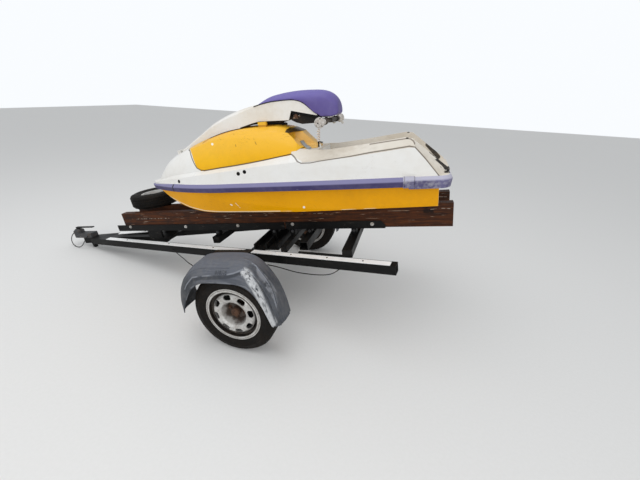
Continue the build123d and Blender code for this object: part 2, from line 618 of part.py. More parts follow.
# axle with trailing arms and stubs
arm_y = wheel_half_track - tyre_width / 2 - 8 - swing_arm_width
beam_z = rail_top - rail_side - axle_beam_side / 2
axle = box(axle_beam_x - axle_beam_side / 2, axle_beam_x + axle_beam_side / 2, -arm_y, arm_y, beam_z - axle_beam_side / 2, beam_z + axle_beam_side / 2)
pieces["axle_beam"] = axle
arm_outline = [(-26, -22), (20, -26), (axle_beam_x + 36, beam_z - 34), (axle_beam_x + 36, beam_z + 30)]
arm_outline += [(axle_beam_x - 36, beam_z + 30), (-30, 24)]
swing_arm = side_plate(arm_outline, arm_y, arm_y + swing_arm_width)
swing_arm += rod((0, arm_y + swing_arm_width, 0), (0, wheel_half_track + 10, 0), stub_radius)
pieces["swing_arm_left"] = swing_arm
pieces["swing_arm_right"] = mirrored(swing_arm)

# side rails, drawbar and white strips
rail_length = (rail_front_x - rail_rear_x) / cos(radians(rail_angle))


def along_rail(shape):
    """From rail coordinates (x forward from its rear end, y inward from its outer face) to the trailer."""
    return Pos(rail_rear_x, rail_rear_y, rail_top) * Rot(0, 0, -rail_angle) * shape


inner_limit = box(-2000, 3000, -drawbar_side / 2, 900, -100, 500) - box(-2000, 3000, -drawbar_side / 2, drawbar_side / 2, -100, 500)
tube = box(0, rail_length, -rail_side, 0, -rail_side, 0) - box(-1, rail_length + 1, -rail_side + rail_wall, -rail_wall, -rail_side + rail_wall, -rail_wall)
edge_angle = box(352, 668, -rail_side - 6, -strip_width - 4, 0, 14) + box(352, 668, -rail_side - 6, -rail_side, -30, 0)
left_rail = (along_rail(tube) & inner_limit) + along_rail(edge_angle)
gap_x, gap_half = 1074.0, 40.0
strips = box(34, gap_x - gap_half, -strip_width - 2, -2, 0, strip_thickness)
strips += box(gap_x + gap_half, rail_length - 260, -strip_width - 2, -2, 0, strip_thickness)
left_strips = along_rail(strips)
pieces["rail_left"] = left_rail
pieces["rail_right"] = mirrored(left_rail)
pieces["rail_strips_left"] = left_strips
pieces["rail_strips_right"] = mirrored(left_strips)
pieces["drawbar"] = box(drawbar_rear_x, drawbar_front_x, -drawbar_side / 2, drawbar_side / 2, rail_top - drawbar_side, rail_top)


def rail_inner_y(x):
    return rail_rear_y - (x - rail_rear_x) * sin(radians(rail_angle)) / cos(radians(rail_angle)) - rail_side


# crossbars carry the bunks on short uprights, columns: name, rear x, front x, height, distance its ends stop short
crossbars = [("front", 440.0, 496.0, 52.0, 52.0), ("middle", -129.0, 63.0, 46.0, -6.0), ("axle", -207.0, -161.0, 40.0, -6.0)]
crossbars += [("open", -349.0, -288.0, 60.0, 50.0), ("rear", -678.0, -614.0, 50.0, -6.0)]
upright_top = bunk_bottom - iron_wall
for name, x0, x1, high, short in crossbars:
    y, mid = rail_inner_y(x1) - short, (x0 + x1) / 2
    bar = box(x0, x1, -y, y, rail_top, rail_top + high)
    if name == "middle":
        bar = bar - box(x0 + 12, mid - 6, -y - 1, y + 1, rail_top + 8, rail_top + high + 1)
        bar = bar - box(mid + 6, x1 - 12, -y - 1, y + 1, rail_top + 8, rail_top + high + 1)
    if name == "open":
        bar = bar - box(x0 + 5, x1 - 5, -y - 1, y + 1, rail_top + 5, rail_top + high - 5)
    for y0, y1 in ((90, 130), (-130, -90)):
        bar += box(mid - 18, mid + 18, y0, y1, rail_top + (7 if name == "middle" else high), upright_top)
    pieces[f"crossbar_{name}"] = bar
plate_half = 100.0
front_plate = box(990, 1205, -plate_half, plate_half, rail_top, rail_top + 20)
for y0, y1 in ((80, plate_half), (-plate_half, -80)):
    front_plate += box(1065, 1205, y0, y1, rail_top + 20, upright_top)
pieces["front_plate"] = front_plate

# coupling head, handle and foot
head = box(socket_x - 190, socket_x, -38, 38, rail_top, rail_top + 44)
head += rod((socket_x, 0, socket_bottom), (socket_x, 0, socket_bottom + 64), socket_radius + 20)
head = head - rod((socket_x, 0, rail_top - 1), (socket_x, 0, socket_bottom + socket_depth), socket_radius)
dome_top = socket_bottom + 82
head += Pos(socket_x, 0, socket_bottom + 64) * Cone(socket_radius + 20, 24, 18, align=seat)
pieces["coupling_head"] = head
lever = box(socket_x - 216, socket_x + 6, -12, 12, dome_top + 10, dome_top + 19)
pieces["coupling_lever"] = lever + box(socket_x - 16, socket_x + 6, -12, 12, dome_top, dome_top + 10)
ground = Rot(0, -lean, 0) * Pos(0, 0, -tyre_radius - 500) * Box(8000, 4000, 1000)
foot = box(foot_x - foot_side / 2, foot_x + foot_side / 2, -foot_side / 2, foot_side / 2, 40, rail_top - drawbar_side) - ground
pieces["nose_foot"] = foot

# wooden bunks on angle irons
def plank(x0, x1, inset0, inset1, z0, z1):
    slope = (bunk_front_y - bunk_rear_y) / (bunk_front_x - bunk_rear_x)
    pts = []
    for x, d in ((x0, inset0), (x1, inset0), (x1, inset1), (x0, inset1)):
        pts.append((x, bunk_rear_y + slope * (x - bunk_rear_x) + bunk_thickness / 2 - d))
    return Pos(0, 0, z0) * extrude(make_face(Polyline(*pts, close=True)), z1 - z0)


bunk = plank(bunk_rear_x, bunk_front_x, 0, bunk_thickness, bunk_bottom, bunk_top) - on_craft(hull)
pieces["bunk_left"] = bunk
pieces["bunk_right"] = mirrored(bunk)
irons = Part()
for x0, x1 in ((-869.0, iron_break_x - 6), (iron_break_x + 6, 1490.0)):
    irons += plank(x0, x1, -iron_wall, 0, bunk_bottom - iron_wall, bunk_bottom - iron_wall + iron_leg)
    irons += plank(x0, x1, 0, iron_leg - iron_wall, bunk_bottom - iron_wall, bunk_bottom)
rear_cut = side_plate([(-900, 290), (-866, 290), (-866, 318), (-836, 352), (-836, 370), (-900, 370)], -400, 400)
irons = irons - rear_cut
pieces["bunk_irons"] = irons + mirrored(irons)

# mudguards: a flat-topped plastic arch whose outer side turns down over the tyre
# guard columns: share of the width, then the arch from its front end over the top to its rear end
guard_rows = [
    (0.0, [(352, 15), (360, 90), (345, 160), (312, 230), (255, 290), (195, 330), (130, 345), (0, 349),
           (-115, 346), (-184, 308), (-232, 242), (-272, 165), (-300, 60), (-310, -54)]),
    (0.45, [(356, 15), (364, 90), (347, 162), (314, 230), (256, 288), (196, 326), (130, 340), (0, 343),
            (-118, 340), (-188, 303), (-235, 239), (-275, 163), (-301, 60), (-310, -54)]),
    (0.725, [(352, 18), (357, 90), (338, 160), (302, 224), (242, 276), (180, 306), (118, 317), (0, 319),
             (-120, 316), (-192, 285), (-238, 227), (-273, 156), (-295, 58), (-303, -50)]),
    (0.91, [(330, 22), (326, 92), (302, 158), (262, 208), (205, 246), (155, 266), (100, 276), (0, 278),
            (-125, 276), (-192, 246), (-230, 194), (-256, 134), (-272, 50), (-287, -42)]),
    (1.0, [(309, 26), (290, 75), (262, 125), (222, 183), (180, 219), (140, 240), (100, 249), (0, 249),
           (-125, 245), (-180, 212), (-214, 165), (-240, 105), (-260, 35), (-283, -36)]),
]


def guard_face(row, side):
    share, out = row
    inn = []
    for x, z in out:
        reach = hypot(x - 20, z + 30)
        inn.append((x - (x - 20) * guard_wall / reach, z - (z + 30) * guard_wall / reach))
    y = guard_inner_y + share * guard_width
    return Plane.XZ.offset(-side * y) * make_face(Polyline(*(out + list(reversed(inn))), close=True))


guard = loft([guard_face(r, 1) for r in guard_rows], ruled=True)
pieces["mudguard_left"] = guard
pieces["mudguard_right"] = mirrored(guard)
stays = box(122, 140, arm_y - 14, arm_y - 8, rail_top - rail_side, guard_top - 8)
stays += box(-100, 140, arm_y - 14, guard_inner_y + 40, guard_top - 14, guard_top - 2)
stays = stays - guard - Pos(0, 0, 3) * guard
pieces["guard_stay_left"] = stays
pieces["guard_stay_right"] = mirrored(stays)

# cords: lanyard under the near grip, wires beside the wheel, loop of lead at the coupling
def cord(points, diameter):
    """Round tube along straight runs joined by tangent arcs."""
    radii = []
    for p, q, r in zip(points, points[1:], points[2:]):
        u, v = Vector(*q) - Vector(*p), Vector(*r) - Vector(*q)
        turn = radians(u.get_angle(v))
        radii.append(0.45 * min(u.length, v.length) / tan(turn / 2))
    route = FilletPolyline(*points, radius=radii)
    return sweep(Plane(origin=route @ 0, z_dir=route % 0) * Circle(diameter / 2), path=route)


pieces["lanyard_cord"] = cord(lanyard_route, lanyard_diameter)
pieces["guard_wire"] = cord(guard_wire_route, wire_diameter)
pieces["rail_wire"] = cord(rail_wire_route, wire_diameter)
pieces["coupling_lead"] = cord(lead_route, lead_diameter)

# the leaning assembly stands on the ground, its middle over the origin
lean_all = Rot(0, lean, 0)
parked = {name: lean_all * shape for name, shape in pieces.items()}
low = min(s.bounding_box().min.Z for s in parked.values())
front = max(s.bounding_box().max.X for s in parked.values())
rear = min(s.bounding_box().min.X for s in parked.values())
shift = Vector(-(front + rear) / 2, 0, tyre_radius)
print("lean", round(lean, 4), "lowest", round(low, 3), "shift", shift)
for name, shape in parked.items():
    export_step(Pos(*shift) * shape, f"parts/{name}.step")
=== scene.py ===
import bmesh
import bpy
import numpy as np
from math import cos, radians, sin, tau
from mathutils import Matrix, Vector


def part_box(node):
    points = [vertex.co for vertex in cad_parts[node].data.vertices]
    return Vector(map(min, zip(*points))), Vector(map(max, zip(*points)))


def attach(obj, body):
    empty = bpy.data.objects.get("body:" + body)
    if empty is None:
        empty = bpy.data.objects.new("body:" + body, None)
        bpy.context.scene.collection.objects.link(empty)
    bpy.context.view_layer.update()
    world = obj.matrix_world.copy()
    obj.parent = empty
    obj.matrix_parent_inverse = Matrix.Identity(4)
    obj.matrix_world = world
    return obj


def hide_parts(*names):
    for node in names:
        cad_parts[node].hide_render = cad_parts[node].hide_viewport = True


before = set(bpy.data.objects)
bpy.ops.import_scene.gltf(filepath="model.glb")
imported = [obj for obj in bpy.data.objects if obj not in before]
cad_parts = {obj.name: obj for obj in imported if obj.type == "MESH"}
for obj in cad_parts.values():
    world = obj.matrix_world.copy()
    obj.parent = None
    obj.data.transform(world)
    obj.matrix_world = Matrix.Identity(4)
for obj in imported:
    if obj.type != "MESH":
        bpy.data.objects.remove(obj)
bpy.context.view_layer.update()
scene = bpy.context.scene
print("frame loaded:", len(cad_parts), "nodes")

# where the trailer and the craft stand, in metres and degrees
stand = {"lean": 9.9729, "craftTilt": 1.35, "craftStern": (-1.262, 0.0, 0.626)}
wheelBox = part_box("tyre_left")
axle = np.array([(wheelBox[0][0] + wheelBox[1][0]) / 2, 0.0, (wheelBox[0][2] + wheelBox[1][2]) / 2])
trunk = "craft_and_trailer"  # the body that stands still


def turnedY(points, degrees):
    # rotation about Y: x' = x cos + z sin, z' = z cos - x sin
    p = np.asarray(points, float)
    c, s = cos(radians(degrees)), sin(radians(degrees))
    return np.stack([p[..., 0] * c + p[..., 2] * s, p[..., 1], p[..., 2] * c - p[..., 0] * s], -1)


def fromTrailer(points):
    # level trailer frame (origin at the axle) to the world: lean forward, then move to the axle
    return turnedY(points, stand["lean"]) + axle


def fromCraft(points):
    # craft frame (origin at the stern) to the world: tilt, move to the stern's place, then as the trailer
    return fromTrailer(turnedY(points, -stand["craftTilt"]) + np.array(stand["craftStern"]))


cameraView = {"fromAxle": (-0.86364, 2.12851, 1.24001), "angles": (64.6636, -2.523, -164.3253), "lens": 17.5113}
cameraData = bpy.data.cameras.new("photoCamera")
cameraData.lens = cameraView["lens"]
cameraData.sensor_width = 36.0
camera = bpy.data.objects.new("photoCamera", cameraData)
scene.collection.objects.link(camera)
camera.location = tuple(axle + np.array(cameraView["fromAxle"]))
camera.rotation_euler = [radians(a) for a in cameraView["angles"]]
scene.camera = camera
scene.view_settings.view_transform = "Standard"
print("camera placed")


def giveInput(tree, socket, value):
    # another node's output is linked, a plain value is set; a colour is (r, g, b)
    if isinstance(value, bpy.types.NodeSocket):
        tree.links.new(value, socket)
    else:
        socket.default_value = (*value, 1.0) if socket.type == "RGBA" else value


def addNode(tree, kind, inputs=None, **settings):
    node = tree.nodes.new(kind)
    for key, value in settings.items():
        setattr(node, key, value)
    for key, value in (inputs or {}).items():
        giveInput(tree, node.inputs[key], value)
    return node


def maths(tree, operation, first, second=0.0, clamp=False):
    return addNode(tree, "ShaderNodeMath", {0: first, 1: second}, operation=operation, use_clamp=clamp).outputs[0]


def times(tree, first, *others):
    for value in others:
        first = maths(tree, "MULTIPLY", first, value)
    return first


def between(tree, value, low, high, first=0.0, last=1.0):
    # value from low..high brought smoothly to first..last
    span = {"Value": value, "From Min": low, "From Max": high, "To Min": first, "To Max": last}
    return addNode(tree, "ShaderNodeMapRange", span, interpolation_type="SMOOTHSTEP").outputs["Result"]


def band(tree, value, rise, fall):
    # 0 before the rise, 1 between the two slopes, 0 after the fall
    return times(tree, between(tree, value, *rise), between(tree, value, *fall, 1.0, 0.0))


def noiseOf(tree, coords, scale, detail, **more):
    return addNode(tree, "ShaderNodeTexNoise", {"Vector": coords, "Scale": scale, "Detail": detail, **more}).outputs["Fac"]


def mapped(tree, coords, **change):
    return addNode(tree, "ShaderNodeMapping", {"Vector": coords, **change}).outputs[0]


def partsOf(tree, coords):
    return addNode(tree, "ShaderNodeSeparateXYZ", {0: coords}).outputs


def vectorMaths(tree, operation, first, second=(0, 0, 0), **more):
    return addNode(tree, "ShaderNodeVectorMath", {0: first, 1: second, **more}, operation=operation).outputs


def mixColour(tree, factor, first, second):
    return addNode(tree, "ShaderNodeMix", {"Factor": factor, 6: first, 7: second}, data_type="RGBA").outputs[2]


def bumped(tree, height, distance, strength, **more):
    return addNode(tree, "ShaderNodeBump", {"Height": height, "Distance": distance, "Strength": strength, **more}).outputs["Normal"]


def newEffect(name, inputs, outputs):
    # a node group with named sockets: tuples and coordinates are vectors, the rest are plain numbers
    vectors = {label for label, default in inputs.items() if default is None or isinstance(default, tuple)} | {"Normal"}
    group = bpy.data.node_groups.new(name, "ShaderNodeTree")
    for label in [*inputs, *outputs]:
        kind = "NodeSocketVector" if label in vectors else "NodeSocketFloat"
        socket = group.interface.new_socket(label, in_out="INPUT" if label in inputs else "OUTPUT", socket_type=kind)
        if inputs.get(label) is not None:
            socket.default_value = inputs[label]
    return group, group.nodes.new("NodeGroupInput").outputs, group.nodes.new("NodeGroupOutput").inputs


def makeDirtEffect():
    # broad stains: wide noise times fine noise, cut smoothly between two levels
    group, given, result = newEffect("broadDirt", {"Coords": None, "Scale": 4.0, "Amount": 0.5}, ["Mask"])
    wide = noiseOf(group, given["Coords"], given["Scale"], 6.0, Roughness=0.62)
    fine = noiseOf(group, given["Coords"], times(group, given["Scale"], 9.0), 4.0)
    mask = between(group, times(group, wide, fine), 0.17, 0.42)
    group.links.new(maths(group, "MULTIPLY", mask, given["Amount"], True), result["Mask"])
    return group


def makeScratchEffect():
    # short scratches: thin bands near the middle value of a stretched noise, kept where a second noise is high
    group, given, result = newEffect("scratches", {"Coords": None, "Scale": 30.0, "Amount": 0.5}, ["Mask"])
    turned = mapped(group, given["Coords"], Rotation=(0.35, 0.5, 0.9), Scale=(0.35, 1.0, 2.6))
    lines = noiseOf(group, turned, given["Scale"], 2.0, Distortion=0.4)
    thin = between(group, maths(group, "ABSOLUTE", maths(group, "SUBTRACT", lines, 0.5)), 0.0, 0.007, 1.0, 0.0)
    mask = times(group, thin, between(group, noiseOf(group, given["Coords"], 7.0, 3.0), 0.54, 0.62))
    group.links.new(maths(group, "MULTIPLY", mask, given["Amount"], True), result["Mask"])
    return group


def makeSpeckEffect():
    # small specks: distance to the nearest cell point under a small radius, kept where noise is high
    group, given, result = newEffect("specks", {"Coords": None, "Scale": 60.0, "Size": 0.16, "Amount": 0.5}, ["Mask"])
    cells = addNode(group, "ShaderNodeTexVoronoi", {"Vector": given["Coords"], "Scale": given["Scale"]})
    inside = maths(group, "LESS_THAN", cells.outputs["Distance"], given["Size"])
    mask = times(group, inside, between(group, noiseOf(group, given["Coords"], 5.0, 3.0), 0.5, 0.64))
    group.links.new(maths(group, "MULTIPLY", mask, given["Amount"], True), result["Mask"])
    return group


def makeGrainEffect():
    # fine surface grain: noise as a bump
    group, given, result = newEffect("fineGrain", {"Coords": None, "Scale": 300.0, "Depth": 0.0004, "Strength": 0.4}, ["Normal"])
    noise = noiseOf(group, given["Coords"], given["Scale"], 3.0)
    group.links.new(bumped(group, noise, given["Depth"], given["Strength"]), result["Normal"])
    return group


def makeLineEffect():
    # seen from the side (x and z only): 1 within half the width of the straight line between two points
    sockets = {"Coords": None, "From": (0, 0, 0), "To": (1, 0, 0), "Width": 0.004, "Blur": 0.001}
    group, given, result = newEffect("seamLine", sockets, ["Mask"])
    flat = vectorMaths(group, "MULTIPLY", given["Coords"], (1, 0, 1))[0]
    fromStart = vectorMaths(group, "SUBTRACT", flat, given["From"])[0]
    run = vectorMaths(group, "SUBTRACT", given["To"], given["From"])[0]
    along = vectorMaths(group, "DOT_PRODUCT", fromStart, run)["Value"]
    share = maths(group, "DIVIDE", along, vectorMaths(group, "DOT_PRODUCT", run, run)["Value"], True)
    foot = vectorMaths(group, "SCALE", run, Scale=share)[0]
    distance = vectorMaths(group, "DISTANCE", fromStart, foot)["Value"]
    beyond = maths(group, "DIVIDE", maths(group, "SUBTRACT", distance, times(group, given["Width"], 0.5)), given["Blur"])
    group.links.new(between(group, beyond, 0.0, 1.0, 1.0, 0.0), result["Mask"])
    return group


def makeRingEffect():
    # distance from the Y axis, and the angle round it as a share of a full turn
    group, given, result = newEffect("wheelRings", {"Coords": None}, ["Radius", "Turn"])
    flat = vectorMaths(group, "MULTIPLY", given["Coords"], (1, 0, 1))[0]
    parts = partsOf(group, flat)
    group.links.new(vectorMaths(group, "LENGTH", flat)["Value"], result["Radius"])
    group.links.new(maths(group, "DIVIDE", maths(group, "ARCTAN2", parts["Z"], parts["X"]), tau), result["Turn"])
    return group


def makeBoxEffect():
    # 1 inside the box between two corners, falling to 0 over the blur outside it
    group, given, result = newEffect("insideBox", {"Coords": None, "Low": (0, 0, 0), "High": (1, 1, 1), "Blur": 0.004}, ["Mask"])
    below = vectorMaths(group, "SUBTRACT", given["Low"], given["Coords"])[0]
    above = vectorMaths(group, "SUBTRACT", given["Coords"], given["High"])[0]
    parts = partsOf(group, vectorMaths(group, "MAXIMUM", below, above)[0])
    most = maths(group, "MAXIMUM", maths(group, "MAXIMUM", parts["X"], parts["Y"]), parts["Z"])
    group.links.new(between(group, maths(group, "DIVIDE", most, given["Blur"]), 0.0, 1.0, 1.0, 0.0), result["Mask"])
    return group


effects = {"box": makeBoxEffect(), "dirt": makeDirtEffect(), "scratch": makeScratchEffect(), "speck": makeSpeckEffect(),
           "grain": makeGrainEffect(), "line": makeLineEffect(), "rings": makeRingEffect()}


def useEffect(tree, kind, coords, **values):
    node = tree.nodes.new("ShaderNodeGroup")
    node.node_tree = effects[kind]
    tree.links.new(coords, node.inputs["Coords"])
    for key, value in values.items():
        node.inputs[key].default_value = value
    return node.outputs


def startMaterial(name):
    material = bpy.data.materials.new(name)
    material.use_nodes = True
    tree = material.node_tree
    coords = tree.nodes.new("ShaderNodeTexCoord").outputs["Object"]
    return material, tree, tree.nodes["Principled BSDF"], coords


def finishShader(tree, shader, colour, roughness, normal, **settings):
    for name, value in {"Base Color": colour, "Roughness": roughness, "Normal": normal, **settings}.items():
        giveInput(tree, shader.inputs[name], value)


def levelCoords(tree, coords, space):
    # object coordinates turned back into the craft's or the level trailer's own frame
    angle = -stand["lean"] + (stand["craftTilt"] if space == "craft" else 0.0)
    origin = fromCraft((0, 0, 0)) if space == "craft" else axle
    return mapped(tree, coords, Rotation=(0.0, radians(angle), 0.0), Location=tuple(-turnedY(origin, angle)))


def runMask(tree, coords, points, width, blur):
    # the lines between neighbouring (x, z) points, put together
    mask = 0.0
    for (x0, z0), (x1, z1) in zip(points[:-1], points[1:]):
        line = useEffect(tree, "line", coords, From=(x0, 0, z0), To=(x1, 0, z1), Width=width, Blur=blur)["Mask"]
        mask = line if mask == 0.0 else maths(tree, "MAXIMUM", mask, line)
    return mask


def lineSets(tree, colour, coords, sets, space="craft"):
    # painted or sunk lines and boxes: each set has points or box corners, width, colour, amount and depth;
    # side and beyond keep it on one side or outside that distance from the middle, broken tears it with noise
    level, height = levelCoords(tree, coords, space) if sets else None, None
    for s in sets:
        if "box" in s:
            mask = useEffect(tree, "box", level, Low=s["box"][0], High=s["box"][1], Blur=s.get("blur", 0.004))["Mask"]
        else:
            mask = runMask(tree, level, s["points"], s.get("width", 0.004), s.get("blur", 0.0015))
        if "side" in s or "beyond" in s:
            across = partsOf(tree, level)["Y"]
            across = times(tree, across, s["side"]) if "side" in s else maths(tree, "ABSOLUTE", across)
            start, end = s.get("beyond", 0.0), s.get("within", 9.0)
            mask = times(tree, mask, band(tree, across, (start, start + 0.006), (end, end + 0.006)))
        if "broken" in s:
            low = s.get("cut", 0.42)
            mask = times(tree, mask, between(tree, noiseOf(tree, coords, s["broken"], 4.0), low, low + 0.14))
        colour = mixColour(tree, times(tree, mask, s.get("amount", 1.0)), colour, s["colour"])
        if "depth" in s:
            sunk = times(tree, mask, -s["depth"])
            height = sunk if height is None else maths(tree, "ADD", height, sunk)
    return colour, height


# what a finish has where it doesn't say otherwise
plainFinish = dict(scratch=0.4, speck=0.4, dirtAmount=0.4, driftScale=3.2, dirtScale=3.0, shine=0.2, metal=0.0, coat=0.0, lines=(),
                   rough=(0.38, 0.65), grain=(200.0, 0.0006, 0.4), scratchColour=(0.2, 0.17, 0.14))


def makeFinish(name, own):
    # base drifting to a second shade, then a paler colour higher up (painted light on the upper faces, with fading),
    # lines, dirt, scratches, specks, gloss and grain
    f = {**plainFinish, **own}
    material, tree, shader, coords = startMaterial(name)
    drift = noiseOf(tree, coords, f["driftScale"], 5.0)
    colour = mixColour(tree, between(tree, drift, 0.35, 0.68), f["base"], f["drift"])
    # paler colour by height: painted light on the upper faces, and fading
    if "topLightAndFade" in f:
        low, high, topLightAndFadeColour, amount = f["topLightAndFade"]
        height = partsOf(tree, levelCoords(tree, coords, "craft"))["Z"]
        colour = mixColour(tree, times(tree, between(tree, height, low, high), amount), colour, topLightAndFadeColour)
    colour = lineSets(tree, colour, coords, f["lines"])[0]
    dirt = useEffect(tree, "dirt", coords, Scale=f["dirtScale"], Amount=f["dirtAmount"])["Mask"]
    scratch = useEffect(tree, "scratch", coords, Scale=16.0, Amount=f["scratch"])["Mask"]
    speck = useEffect(tree, "speck", coords, Scale=45.0, Size=0.13, Amount=f["speck"])["Mask"]
    for mask, shade in ((dirt, f["dirt"]), (scratch, f["scratchColour"]), (speck, f["dirt"])):
        colour = mixColour(tree, mask, colour, shade)
    gloss = maths(tree, "ADD", between(tree, drift, 0.3, 0.7, *f["rough"]), times(tree, dirt, 0.3), True)
    normal = useEffect(tree, "grain", coords, **dict(zip(("Scale", "Depth", "Strength"), f["grain"])))["Normal"]
    finishShader(tree, shader, colour, gloss, normal,
                 **{"Metallic": f["metal"], "Coat Weight": f["coat"], "Coat Roughness": 0.12, "Specular IOR Level": f["shine"]})
    return material


# seams and marks as (x, z) points of the craft's own frame, metres
hoodSeam = dict(points=[(1.8, 0.262), (1.771, 0.249), (1.748, 0.21), (1.726, 0.169), (1.704, 0.134), (1.676, 0.119), (1.64, 0.114),
                        (1.509, 0.127), (1.386, 0.137), (1.268, 0.149), (1.157, 0.162), (1.047, 0.177), (0.962, 0.188),
                        (0.935, 0.2), (0.912, 0.213), (0.895, 0.217)],
                width=0.004, blur=0.003, colour=(0.045, 0.028, 0.016), amount=0.92)
matSeam = dict(points=[(0.962, 0.188), (0.935, 0.172), (0.91, 0.153), (0.881, 0.139), (0.822, 0.138), (0.757, 0.146),
                       (0.572, 0.162), (0.455, 0.176), (0.343, 0.186), (0.238, 0.196), (0.208, 0.19), (0.154, 0.128),
                       (0.068, 0.017)],
               width=0.0035, blur=0.0025, colour=(0.1, 0.075, 0.055), amount=0.85, beyond=0.172)
matPanel = dict(points=[(0.467, 0.211), (0.349, 0.221), (0.252, 0.2285), (0.232, 0.224), (0.217, 0.214), (0.209, 0.202)],
                width=0.003, blur=0.0025, colour=(0.16, 0.12, 0.09), amount=0.8, side=1.0, beyond=0.17)
matCorner = dict(points=[(0.256, 0.229), (0.248, 0.229)], width=0.005, blur=0.002, colour=(0.05, 0.04, 0.03))
sideHoles = [dict(points=[(x, z), (x + 0.001, z)], width=0.0245, blur=0.001, colour=(0.006, 0.006, 0.006))
             for x, z in ((1.285, 0.103), (1.333, 0.093), (1.878, 0.046))]
# the torn corner of the rail: boxes from below the deck up to these (x, y, z) corners
tornCorners = [(0.02, (0.125, 0.176, 0.14)), (0.015, (0.11, 0.2, 0.1)), (0.0, (0.075, 0.222, 0.062)), (0.0, (0.045, 0.236, 0.036))]
tornEdge = [dict(box=((-0.02, 0.1, low), high), blur=0.006, broken=34.0, cut=0.33, side=1.0, colour=(0.012, 0.012, 0.012))
            for low, high in tornCorners]
tornEdge.append(dict(points=[(0.127, 0.141), (0.098, 0.107), (0.057, 0.055)], width=0.024, blur=0.004, side=-1.0, within=0.178,
                     colour=(0.012, 0.012, 0.012)))
hullMarks = [dict(points=[(2.1, -0.072), (2.008, -0.101), (1.852, -0.152), (1.704, -0.176), (1.565, -0.18), (1.316, -0.18),
                          (1.083, -0.177)], width=0.0035, blur=0.003, broken=5.0, cut=0.3, amount=0.85, colour=(0.86, 0.76, 0.55)),
             dict(points=[(1.083, -0.178), (0.866, -0.1755), (0.662, -0.1705), (0.47, -0.164), (0.289, -0.1595), (0.117, -0.154),
                          (0.07, -0.153)], width=0.0015, blur=0.002, broken=9.0, cut=0.53, amount=0.7, colour=(0.86, 0.76, 0.55)),
             dict(points=[(0.07, -0.153), (0.07, -0.02)], width=0.003, blur=0.002, broken=9.0, cut=0.3, amount=0.8,
                  colour=(0.86, 0.76, 0.55)),
             dict(points=[(1.443, -0.128), (1.452, -0.123)], width=0.007, blur=0.002, colour=(0.85, 0.82, 0.74)),
             dict(points=[(0.903, -0.15), (0.904, -0.15)], width=0.013, blur=0.002, colour=(0.85, 0.84, 0.8)),
             dict(points=[(1.41, -0.112), (1.385, -0.15)], width=0.0025, blur=0.001, broken=40.0, colour=(0.85, 0.8, 0.65))]
hoodMarks = [hoodSeam,
             # painted shadow: an orange-brown band along the hood's top edge, in the shade under the cover
             dict(points=[(1.665, 0.298), (1.644, 0.307), (1.619, 0.322), (1.527, 0.342), (1.437, 0.358), (1.351, 0.369),
                          (1.258, 0.373), (1.12, 0.365)], width=0.006, blur=0.006, amount=0.75, colour=(0.42, 0.16, 0.008)),
             dict(box=((0.82, -0.13, 0.18), (0.975, 0.13, 0.3)), blur=0.014, amount=0.6, colour=(0.8, 0.52, 0.22)),
             # painted shadow: a near-black box under the lip of the scoop at the hood's rear
             dict(box=((0.9, -0.135, 0.3145), (1.016, 0.135, 0.336)), blur=0.006, amount=0.97, colour=(0.012, 0.009, 0.006)),
             dict(points=[(1.373, 0.292), (1.366, 0.258)], width=0.003, blur=0.002, broken=60.0, amount=0.8,
                  colour=(0.2, 0.1, 0.02)),
             dict(points=[(1.235, 0.3), (1.212, 0.262)], width=0.003, blur=0.002, broken=60.0, amount=0.8, colour=(0.2, 0.1, 0.02)),
             dict(points=[(1.568, 0.286), (1.56, 0.283)], width=0.012, blur=0.002, colour=(0.85, 0.82, 0.72))]
bumperMarks = [dict(points=[(1.932, 0.026), (1.946, 0.006), (1.952, -0.032)], width=0.006, blur=0.004,
                    colour=(0.008, 0.007, 0.014))]
sternMarks = [dict(points=[(x, 0.04), (x, -0.05)], width=0.003, blur=0.002, amount=0.7, colour=(0.03, 0.026, 0.06))
              for x in (0.207, 0.262)]
poleMarks = [dict(box=((1.45, -0.2, 0.0), (2.2, 0.2, 0.6)), blur=0.02, colour=(0.7, 0.69, 0.65)),
             dict(box=((0.93, 0.0, 0.395), (0.985, 0.06, 0.428)), blur=0.006, broken=60.0, colour=(0.3, 0.2, 0.14)),
             dict(box=((0.735, -0.2, 0.383), (0.832, 0.2, 0.44)), blur=0.004, colour=(0.34, 0.34, 0.33))]

